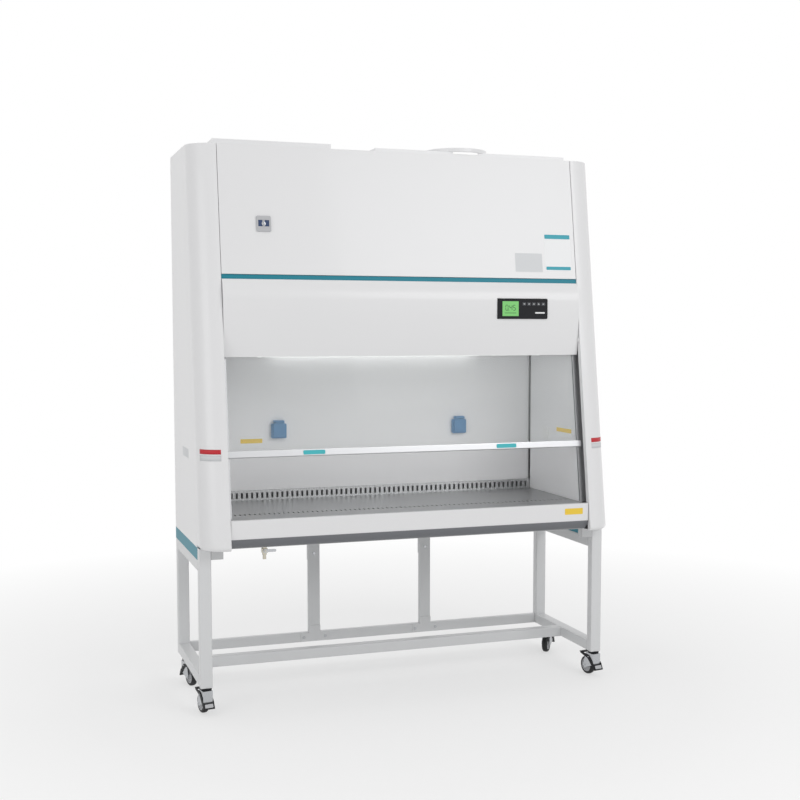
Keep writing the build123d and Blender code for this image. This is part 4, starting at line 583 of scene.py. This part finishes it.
@dataclass
class CasterWheels:
    """Caster wheels: a moulded grey core, dished between hub and rim, and a black crowned tread.

    Both sections are given for the left side of a wheel and mirrored for the right one.
    """

    radius: float = 40.0
    width: float = 26.0
    hub_width: float = 30.0
    rim_radius: float = 29.0
    boss_radius: float = 10.0
    bore_radius: float = 4.05
    trail: float = 36.0
    # Rows of inset from the wheel's side and drop, below the crown and below the rim.
    shoulder: tuple[tuple[float, float], ...] = ((6.0, 0.6), (3.0, 2.0), (0.8, 5.0), (0.0, 9.0))
    dish: tuple[tuple[float, float], ...] = ((1.6, 0.0), (1.2, 1.2), (2.0, 3.4), (6.0, 4.4))
    crown_inset: float = 9.5
    lip_inset: float = 1.0
    web_inset: float = 6.5
    web_rise: float = 3.0
    boss_round: float = 1.0
    core_steps: int = 40
    toe_lean: float = 66.0
    toe_spot: tuple[float, float, float] = (0.0, -33.8, 43.4)
    toe_size: tuple[float, float, float] = (34.0, 15.0, 1.6)
    toe_corner: float = 3.0

    def swivel(self, caster: Caster) -> Matrix:
        """Frame on the floor below the swivel axis, turned with the trail."""
        _, x, y, yaw = caster.value
        return stood(x, y, 0.0, Matrix.Rotation(math.radians(yaw), 4, "Z"))

    def axle(self, caster: Caster) -> Matrix:
        """Frame on the wheel's axle, X along it."""
        return self.swivel(caster) @ Matrix.Translation(Vector((0, self.trail, self.radius)) * MM)

    def mirrored(self, points: list[tuple[float, float]]) -> list[tuple[float, float]]:
        """The same points on the other side of the wheel, in turn."""
        return [(-axial, radius) for axial, radius in reversed(points)]

    def tread(self) -> list[tuple[float, float]]:
        """Section of the tread.

        Returns:
            Points of (axial, radius) in mm.
        """
        half = self.width / 2
        left = [(inset - half, self.radius - drop) for inset, drop in self.shoulder]
        left.append((self.lip_inset - half, self.rim_radius))
        crown = half - self.crown_inset
        return left + self.mirrored(left) + [(crown, self.radius), (-crown, self.radius)]

    def core(self) -> list[tuple[float, float]]:
        """Section of the core.

        Returns:
            Points of (axial, radius) in mm.
        """
        half, boss = self.width / 2, self.hub_width / 2
        left = [(inset - half, self.rim_radius - drop) for inset, drop in self.dish]
        left += [(self.web_inset - half, self.boss_radius + self.web_rise),
                 (self.boss_round - boss, self.boss_radius),
                 (-boss, self.boss_radius - self.boss_round), (-boss, self.bore_radius)]
        return left + self.mirrored(left)

    def build(self, frame: Frame) -> None:
        """Build the four wheels.

        Args:
            frame: The loaded CAD frame.
        """
        tread, core = self.tread(), self.core()
        for caster in Caster:
            name = caster.value[0]
            node = f"caster_wheel_{name}"
            body, slot = frame.body_of(node), frame.slots[node]
            place = self.axle(caster)
            tyre = finished(f"tread_{name}", lathe_mesh("tread", place, tread), TREAD_RUBBER, body)
            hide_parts(node)
            hub_mesh = lathe_mesh("core", place, core, self.core_steps)
            hub = finished(f"wheel_core_{name}", hub_mesh, GREY_ABS, body)
            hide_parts(node)
            frame.paint(f"caster_fork_{name}", ZINC)
            frame.paint(f"caster_rocker_{name}", BLACK_ABS)
            self.toe(frame, caster)

    def toe(self, frame: Frame, caster: Caster) -> None:
        """Pale grey plate on the toe of the brake rocker, a painted highlight on the glossy black pedal
        top.

        Args:
            frame: The loaded CAD frame.
            caster: Caster that gets the pad.
        """
        name = caster.value[0]
        place = (self.swivel(caster) @ Matrix.Translation(Vector(self.toe_spot) * MM)
                 @ Matrix.Rotation(math.radians(self.toe_lean), 4, "X"))
        node = f"caster_rocker_{name}"
        # The pale grey plate is a painted highlight where light falls on the pedal's top.
        finished(f"rocker_toe_{name}", plate_mesh("toe", place, *self.toe_size, self.toe_corner),
                 GREY_ABS, frame.body_of(node))


@dataclass(frozen=True)
class PanelPlate:
    """A blank plate on the hinged front panel: its edges in mm, and whether it lies on another."""

    name: str
    left: float
    right: float
    bottom: float
    top: float
    finish: Finish
    on_plate: bool = False


@dataclass(frozen=True)
class ChamberPlate:
    """A white plate in the chamber with a yellow strip along its top, in mm."""

    name: str
    spot: tuple[float, float, float]
    turn: Matrix
    size: tuple[float, float]
    strip_size: tuple[float, float]
    strip_rise: float


@dataclass
class Labels:
    """Blank plates and films on the front panel, sill, walls and corner covers. Sizes are in mm."""

    thickness: float = 0.5
    corner: float = 2.0
    panel_recess: float = 2.0
    instruction: tuple[PanelPlate, ...] = (
        PanelPlate("instruction_plate", 627.0, 750.0, 1773.0, 1930.0, WHITE_FILM),
        PanelPlate("instruction_header", 629.0, 748.0, 1910.0, 1928.0, TEAL_FILM, True),
        PanelPlate("instruction_footer", 631.0, 746.0, 1777.0, 1791.0, TEAL_FILM, True),
    )
    rating: PanelPlate = PanelPlate("rating_plate", 487.0, 613.0, 1767.0, 1846.0, GREY_FILM)
    chamber: tuple[ChamberPlate, ...] = (
        ChamberPlate("rear_wall", (-560.0, 270.0, 1027.0), FACING_FRONT, (101.0, 42.0), (97.0, 19.0), 10.5),
        ChamberPlate("side_wall", (766.0, -98.0, 1068.0), FACING_LEFT, (150.0, 40.0), (146.0, 18.0), 10.0),
    )
    sill_spot: tuple[float, float, float] = (700.0, -334.0, 752.0)
    sill_size: tuple[float, float] = (84.0, 26.0)
    service_spot: tuple[float, float, float] = (-880.0, 48.0, 1021.0)
    service_size: tuple[float, float] = (145.0, 37.0)
    lock_x: float = -593.0
    lock_z: float = 1939.0
    lock_well_lift: float = 3.5
    insert_x: float = 13.5
    insert_rise: float = 2.0
    insert_size: tuple[float, float, float] = (17.0, 25.0, 0.4)
    insert_corner: float = 1.0
    half_width: float = 880.0
    cover_radius: float = 96.0
    red_band: tuple[float, float] = (1041.0, 1059.0)
    pale_band: tuple[float, float] = (1015.0, 1037.0)
    band_start: float = 8.0
    band_end: float = 64.0
    band_steps: int = 12
    band_lift: float = 0.4
    band_thickness: float = 0.3

    def key_window(self) -> None:
        """Dark blue insert in the well of the key switch: a plate on each side of the barrel."""
        place = (FACE.at(self.lock_x, self.lock_z, self.panel_recess)
                 @ Matrix.Translation(Vector((0, self.insert_rise, self.lock_well_lift)) * MM))
        for side, word in ((-1, "left"), (1, "right")):
            name = f"key_window_{word}"
            spot = place @ Matrix.Translation(Vector((side * self.insert_x, 0, 0)) * MM)
            mesh = plate_mesh(name, spot, *self.insert_size, self.insert_corner)
            finished(name, mesh, NAVY_ABS, Body.FRONT_PANEL.value)

    def on_panel(self, plate: PanelPlate) -> None:
        """Plate on the leaning front panel.

        Args:
            plate: Plate to build.
        """
        place = FACE.at((plate.left + plate.right) / 2, (plate.bottom + plate.top) / 2, self.panel_recess)
        lift = self.thickness if plate.on_plate else 0.0
        place = place @ Matrix.Translation((0, 0, lift * MM))
        height = (plate.top - plate.bottom) / math.cos(FACE.lean)
        mesh = plate_mesh(plate.name, place, plate.right - plate.left, height, self.thickness, self.corner)
        finished(plate.name, mesh, plate.finish, Body.FRONT_PANEL.value)

    def on_wall(self, name: str, place: Matrix, size: tuple[float, float], finish: Finish) -> None:
        """Plate on an upright wall of the cabinet.

        Args:
            name: Name of the piece.
            place: Frame at the middle of its back, Z pointing away from the wall.
            size: Width and height in mm.
            finish: Finish of the plate.
        """
        mesh = plate_mesh(name, place, *size, self.thickness, self.corner)
        finished(name, mesh, finish, Body.CABINET.value)

    def corner_band(self, name: str, side: int, low: float, high: float, finish: Finish) -> None:
        """Film wrapped round the front of a corner cover.

        Args:
            name: Name of the piece.
            side: -1 for the left cover, 1 for the right one.
            low: Lower edge in mm.
            high: Upper edge in mm.
            finish: Finish of the film.
        """
        reach = self.cover_radius + self.band_lift
        path = []
        for step in range(self.band_steps + 1):
            share = (self.band_end - self.band_start) * step / self.band_steps
            angle = math.radians(self.band_start + share)
            path.append((self.half_width - self.cover_radius + reach * math.sin(angle),
                         self.cover_radius - reach * math.cos(angle)))
        bm = bmesh.new()
        lower, upper = ([bm.verts.new(Vector((side * x, FACE.y_at(z) + y, z)) * MM) for x, y in path]
                        for z in (low, high))
        for i in range(self.band_steps):
            bm.faces.new((lower[i], lower[i + 1], upper[i + 1], upper[i]))
        piece = finished(name, mesh_from(bm, name), finish, Body.CABINET.value)
        film = piece.modifiers.new("film", "SOLIDIFY")
        film.thickness = self.band_thickness * MM
        film.offset = -side
        work_in(piece)

    def build(self) -> None:
        """Build every plate."""
        for plate in self.instruction:
            self.on_panel(plate)
        self.key_window()
        self.on_panel(self.rating)
        self.on_wall("sill_plate", stood(*self.sill_spot, FACING_FRONT), self.sill_size, YELLOW_FILM)
        for plate in self.chamber:
            place = stood(*plate.spot, plate.turn)
            over = place @ Matrix.Translation(Vector((0, plate.strip_rise, self.thickness)) * MM)
            self.on_wall(f"{plate.name}_plate", place, plate.size, WHITE_FILM)
            self.on_wall(f"{plate.name}_strip", over, plate.strip_size, YELLOW_FILM)
        self.on_wall("service_plate", stood(*self.service_spot, FACING_LEFT), self.service_size,
                     GREY_FILM)
        for side, word in ((-1, "left"), (1, "right")):
            self.corner_band(f"red_band_{word}", side, *self.red_band, RED_FILM)
            self.corner_band(f"pale_band_{word}", side, *self.pale_band, GREY_FILM)


@dataclass
class ControlFace:
    """Digits on the display, legends on the keys and the small white bar below them, in mm.

    The dot and the rule are given by their middle from the display's, width and height.
    """

    display_x: float = 447.0
    display_z: float = 1610.0
    digit_width: float = 11.0
    digit_height: float = 21.0
    stroke: float = 2.4
    reading: tuple[tuple[str, float], ...] = (("0", -17.0), ("4", 1.0), ("5", 17.0))
    reading_rise: float = 4.0
    dot: tuple[float, float, float, float] = (-8.0, -7.0, 2.6, 2.6)
    rule: tuple[float, float, float, float] = (0.0, -18.0, 52.0, 2.0)
    ink_thickness: float = 0.25
    ink_corner: float = 0.4
    key_count: int = 5
    key_first: float = 510.0
    key_pitch: float = 22.0
    key_z: float = 1630.0
    legend_size: tuple[float, float, float] = (7.0, 2.2, 0.15)
    legend_corner: float = 0.6
    bar_x: float = 583.0
    bar_z: float = 1593.0
    bar_size: tuple[float, float, float] = (44.0, 6.0, 0.2)
    bar_corner: float = 0.8

    SEGMENTS = {"0": "abcdef", "4": "bcfg", "5": "acdfg"}

    def bars(self, digit: str, x: float, z: float) -> list[tuple[float, float, float, float]]:
        """Bars of one seven-segment digit.

        Args:
            digit: Figure to show.
            x: Middle of the digit in mm.
            z: Middle of the digit in mm.

        Returns:
            Centre x, centre z, width and height of each bar, in mm.
        """
        w, h, s = self.digit_width, self.digit_height, self.stroke
        places = {
            "a": (0, h / 2, w - s, s), "g": (0, 0, w - s, s), "d": (0, -h / 2, w - s, s),
            "b": (w / 2, h / 4, s, h / 2 - s), "c": (w / 2, -h / 4, s, h / 2 - s),
            "f": (-w / 2, h / 4, s, h / 2 - s), "e": (-w / 2, -h / 4, s, h / 2 - s),
        }
        return [(x + dx, z + dz, bw, bh) for dx, dz, bw, bh in (places[c] for c in self.SEGMENTS[digit])]

    def build(self, frame: Frame) -> None:
        """Build the figures and legends.

        Args:
            frame: The loaded CAD frame.
        """
        low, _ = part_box("display_window")
        glass_y = low.y / MM
        bars = []
        for digit, shift in self.reading:
            bars += self.bars(digit, self.display_x + shift, self.display_z + self.reading_rise)
        for dx, dz, width, height in (self.dot, self.rule):
            bars.append((self.display_x + dx, self.display_z + dz, width, height))
        bm = bmesh.new()
        for x, z, width, height in bars:
            part = plate_mesh("bar", stood(x, glass_y, z, FACING_FRONT), width, height,
                              self.ink_thickness, self.ink_corner)
            bm.from_mesh(part)
            bpy.data.meshes.remove(part)
        finished("display_figures", mesh_from(bm, "display_figures"), SEGMENT_INK, Body.CABINET.value)
        for index in range(self.key_count):
            node = f"key_{index + 1}"
            frame.paint(node, KEY_ABS)
            low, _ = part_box(node)
            place = stood(self.key_first + self.key_pitch * index, low.y / MM, self.key_z, FACING_FRONT)
            mark = plate_mesh("legend", place, *self.legend_size, self.legend_corner)
            finished(f"legend_{index + 1}", mark, WHITE_FILM, frame.body_of(node))
        low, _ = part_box("control_bezel")
        place = stood(self.bar_x, low.y / MM, self.bar_z, FACING_FRONT)
        bar = plate_mesh("bar", place, *self.bar_size, self.bar_corner)
        finished("printed_bar", bar, WHITE_FILM, Body.CABINET.value)


@dataclass
class ScrewRows:
    """Pan-head screws in rows, made with Geometry Nodes. Places are in mm."""

    head_radius: float = 4.0
    head_rise: float = 1.8
    head_steps: tuple[int, int] = (14, 8)
    washer_share: float = 1.35
    washer_depth: float = 0.8
    washer_steps: int = 18
    rear_y: float = 355.0
    rear_xs: tuple[float, ...] = tuple(-830.0 + 166.0 * i for i in range(11))
    rear_rows: tuple[float, ...] = (690.0, 2230.0)
    rear_columns: tuple[float, ...] = (-850.0, 850.0)
    rear_zs: tuple[float, ...] = tuple(690.0 + 220.0 * i for i in range(1, 7))
    side_x: float = 880.0
    side_y: float = 335.0
    side_zs: tuple[float, ...] = tuple(720.0 + 210.0 * i for i in range(8))
    top_ys: tuple[float, ...] = (-50.0, 250.0)
    electrics_xs: tuple[float, ...] = (-762.0, -531.0, -300.0)
    electrics_top: float = 2279.0
    cover_xs: tuple[float, ...] = (-84.0, 130.0, 480.0, 755.0)
    cover_top: float = 2273.0

    def tree(self) -> bpy.types.NodeTree:
        """Node tree that puts a domed head on a washer on every point of a mesh.

        Returns:
            The Geometry Nodes tree.
        """
        found = bpy.data.node_groups.get("screw_row")
        if found:
            return found
        tree = bpy.data.node_groups.new("screw_row", "GeometryNodeTree")
        for name, kind in (("Geometry", "Geometry"), ("Head Radius", "Float"), ("Head Rise", "Float"),
                           ("Turn", "Vector"), ("Material", "Material")):
            tree.interface.new_socket(name, in_out="INPUT", socket_type=f"NodeSocket{kind}")
        tree.interface.new_socket("Geometry", in_out="OUTPUT", socket_type="NodeSocketGeometry")
        given = add_node(tree, "NodeGroupInput")
        segments, rings = self.head_steps
        dome = add_node(tree, "GeometryNodeMeshUVSphere", values={"Segments": segments, "Rings": rings},
                        links={"Radius": given.outputs["Head Radius"]})
        flat = add_node(tree, "ShaderNodeMath", {"operation": "DIVIDE"},
                        links={0: given.outputs["Head Rise"], 1: given.outputs["Head Radius"]})
        scale = add_node(tree, "ShaderNodeCombineXYZ", values={"X": 1.0, "Y": 1.0},
                         links={"Z": flat.outputs[0]})
        head = add_node(tree, "GeometryNodeTransform",
                        links={"Geometry": dome.outputs["Mesh"], "Scale": scale.outputs[0]})
        smooth = add_node(tree, "GeometryNodeSetShadeSmooth", links={"Geometry": head.outputs["Geometry"]})
        wide = add_node(tree, "ShaderNodeMath", {"operation": "MULTIPLY"},
                        values={1: self.washer_share}, links={0: given.outputs["Head Radius"]})
        washer = add_node(tree, "GeometryNodeMeshCylinder",
                          values={"Vertices": self.washer_steps, "Depth": self.washer_depth * MM},
                          links={"Radius": wide.outputs[0]})
        both = add_node(tree, "GeometryNodeJoinGeometry")
        tree.links.new(smooth.outputs["Geometry"], both.inputs[0])
        tree.links.new(washer.outputs["Mesh"], both.inputs[0])
        copies = add_node(tree, "GeometryNodeInstanceOnPoints",
                          links={"Points": given.outputs["Geometry"], "Instance": both.outputs["Geometry"],
                                 "Rotation": given.outputs["Turn"]})
        real = add_node(tree, "GeometryNodeRealizeInstances",
                        links={"Geometry": copies.outputs["Instances"]})
        dressed = add_node(tree, "GeometryNodeSetMaterial",
                           links={"Geometry": real.outputs["Geometry"],
                                  "Material": given.outputs["Material"]})
        add_node(tree, "NodeGroupOutput", links={0: dressed.outputs["Geometry"]})
        return tree

    def row(self, name: str, points: list[tuple[float, float, float]], turn: tuple[float, float, float],
            finish: Finish, body: str) -> None:
        """One set of screws that all face the same way.

        Args:
            name: Name of the piece.
            points: Centres of the heads' seats in mm.
            turn: Euler angles that turn +Z to the way the heads face.
            finish: Finish of the screws.
            body: Body that carries them.
        """
        base = bpy.data.meshes.new(f"{name}_points")
        base.from_pydata([Vector(p) * MM for p in points], [], [])
        carrier = bpy.data.objects.new(f"{name}_points", base)
        bpy.context.scene.collection.objects.link(carrier)
        modifier = carrier.modifiers.new("screws", "NODES")
        tree = self.tree()
        modifier.node_group = tree
        values = {"Head Radius": self.head_radius * MM, "Head Rise": self.head_rise * MM, "Turn": turn,
                  "Material": finish.build()}
        for item in tree.interface.items_tree:
            if item.item_type == "SOCKET" and item.in_out == "INPUT" and item.name in values:
                modifier[item.identifier] = values[item.name]
        carrier.update_tag()
        mesh = settled(carrier)
        bpy.data.objects.remove(carrier)
        finished(name, mesh, finish, body)

    def build(self) -> None:
        """Build the rows on the rear panel, the side panels and the two covers on top."""
        cabinet, white = Body.CABINET.value, "body_white"
        rear = [(x, self.rear_y, z) for x in self.rear_xs for z in self.rear_rows]
        rear += [(x, self.rear_y, z) for x in self.rear_columns for z in self.rear_zs]
        self.row("rear_screws", rear, (-math.pi / 2, 0, 0), ZINC, cabinet)
        for side, word in ((-1, "left"), (1, "right")):
            column = [(side * self.side_x, self.side_y, z) for z in self.side_zs]
            self.row(f"side_screws_{word}", column, (0, side * math.pi / 2, 0), WHITE_ABS, cabinet)
        for name, xs, top in (("electrics_screws", self.electrics_xs, self.electrics_top),
                              ("cover_screws", self.cover_xs, self.cover_top)):
            self.row(name, [(x, y, top) for x in xs for y in self.top_ys], (0, 0, 0), ZINC, cabinet)


@dataclass
class Studio:
    """Pale floor, soft lights and the camera of the photograph."""

    focal_px: float = 1225.4
    centre_px: tuple[float, float] = (410.0, 428.6)
    image_px: float = 800.0
    sensor_mm: float = 36.0
    sight_m: float = 60.0
    eye: tuple[float, float, float] = (-1.6518, -4.9852, 1.5170)
    yaw: float = 19.141
    pitch: float = 4.562
    room_light: float = 0.55
    near_glow: float = 0.55
    fade: tuple[float, float] = (1.3, 3.6)
    floor_corners: tuple[tuple[float, float], ...] = (
        (-14.0, -9.0), (14.0, -9.0), (14.0, 16.0), (-14.0, 16.0),
    )
    # Name, place and aim in metres, width and height in metres, and power in watts.
    softboxes: tuple[tuple, ...] = (
        ("key_softbox", (2.4, -4.6, 3.4), (0.0, 0.0, 1.2), (2.6, 2.2), 62.0),
        ("fill_softbox", (-4.2, -2.6, 2.4), (-0.2, 0.0, 1.1), (2.4, 2.4), 30.0),
        ("top_softbox", (0.0, 0.6, 4.6), (0.0, 0.0, 1.0), (3.4, 2.4), 26.0),
    )

    def camera(self) -> None:
        """Set the camera up from the solved view."""
        data = bpy.data.cameras.new("camera")
        data.sensor_width = self.sensor_mm
        data.lens = self.focal_px * data.sensor_width / self.image_px
        data.shift_x = (self.image_px / 2 - self.centre_px[0]) / self.image_px
        data.shift_y = (self.centre_px[1] - self.image_px / 2) / self.image_px
        data.clip_end = self.sight_m
        camera = bpy.data.objects.new("camera", data)
        camera.location = self.eye
        camera.rotation_euler = (math.radians(90 - self.pitch), 0.0, math.radians(-self.yaw))
        bpy.context.scene.collection.objects.link(camera)
        bpy.context.scene.camera = camera

    def light(self, name: str, place: tuple[float, float, float], aim: tuple[float, float, float],
              size: tuple[float, float], power: float) -> None:
        """Add one soft lamp.

        Args:
            name: Name of the lamp.
            place: Where it hangs, in metres.
            aim: Point that it looks at, in metres.
            size: Width and height in metres.
            power: Power in watts.
        """
        data = bpy.data.lights.new(name, "AREA")
        data.shape = "RECTANGLE"
        data.size, data.size_y = size
        data.energy = power
        lamp = bpy.data.objects.new(name, data)
        lamp.location = place
        lamp.rotation_euler = (Vector(aim) - Vector(place)).to_track_quat("-Z", "Y").to_euler()
        bpy.context.scene.collection.objects.link(lamp)

    def seen(self, tree: bpy.types.NodeTree) -> bpy.types.NodeSocket:
        """Share of a ray that looks at the surroundings straight, in a mirror or through glass.

        Args:
            tree: Tree that the nodes go to.

        Returns:
            Socket that is 1 for such a ray and 0 for one that carries light.
        """
        path = add_node(tree, "ShaderNodeLightPath")
        first = add_node(tree, "ShaderNodeMath", {"operation": "ADD", "use_clamp": True},
                         links={0: path.outputs["Is Camera Ray"], 1: path.outputs["Is Glossy Ray"]})
        both = add_node(tree, "ShaderNodeMath", {"operation": "ADD", "use_clamp": True},
                        links={0: first.outputs[0], 1: path.outputs["Is Transmission Ray"]})
        return both.outputs[0]

    def world(self) -> None:
        """White surroundings for the eye and mirrors, and a gentler light on the object."""
        world = bpy.data.worlds.new("studio")
        bpy.context.scene.world = world
        world.use_nodes = True
        tree = world.node_tree
        tree.nodes.clear()
        soft = add_node(tree, "ShaderNodeBackground",
                        values={"Color": (1, 1, 1, 1), "Strength": self.room_light})
        plain = add_node(tree, "ShaderNodeBackground", values={"Color": (1, 1, 1, 1), "Strength": 1.0})
        mix = add_node(tree, "ShaderNodeMixShader",
                       links={0: self.seen(tree), 1: soft.outputs[0], 2: plain.outputs[0]})
        add_node(tree, "ShaderNodeOutputWorld", links={"Surface": mix.outputs[0]})

    def floor(self) -> None:
        """Wide pale floor that keeps the cabinet's shadow and turns white away from it."""
        bm = bmesh.new()
        bm.faces.new([bm.verts.new((x, y, 0.0)) for x, y in self.floor_corners])
        mesh = mesh_from(bm, "studio_floor")
        material = bpy.data.materials.new("matt_studio_floor")
        material.use_nodes = True
        tree = material.node_tree
        tree.nodes.clear()
        place = add_node(tree, "ShaderNodeTexCoord")
        reach = add_node(tree, "ShaderNodeVectorMath", {"operation": "LENGTH"},
                         links={0: place.outputs["Object"]})
        fade = add_node(tree, "ShaderNodeMapRange",
                        values={"From Min": self.fade[0], "From Max": self.fade[1],
                                "To Min": self.near_glow, "To Max": 1.0},
                        links={"Value": reach.outputs["Value"]})
        share = add_node(tree, "ShaderNodeMath", {"operation": "MULTIPLY"},
                         links={0: fade.outputs["Result"], 1: self.seen(tree)})
        paint = add_node(tree, "ShaderNodeBsdfDiffuse", values={"Color": srgb("F4F4F4")})
        glow = add_node(tree, "ShaderNodeEmission", values={"Color": (1, 1, 1, 1), "Strength": 1.0})
        mix = add_node(tree, "ShaderNodeMixShader",
                       links={0: share.outputs[0], 1: paint.outputs[0], 2: glow.outputs[0]})
        add_node(tree, "ShaderNodeOutputMaterial", links={"Surface": mix.outputs[0]})
        mesh.materials.append(material)
        floor = bpy.data.objects.new("studio_floor", mesh)
        bpy.context.scene.collection.objects.link(floor)

    def build(self) -> None:
        """Build the whole studio."""
        self.camera()
        self.world()
        self.floor()
        for softbox in self.softboxes:
            self.light(*softbox)
        bpy.context.scene.view_settings.view_transform = "Standard"


def main() -> None:
    """Dress the frame and set the studio."""
    logging.basicConfig(level=logging.INFO, format="%(name)s: %(message)s")
    frame = Frame.load()
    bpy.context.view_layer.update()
    for node, finish in NODE_FINISH.items():
        frame.paint(node, finish)
    PressedSheet().build(frame)
    CasterWheels().build(frame)
    Labels().build()
    ControlFace().build(frame)
    ScrewRows().build()
    Studio().build()


if __name__ == "__main__":
    main()
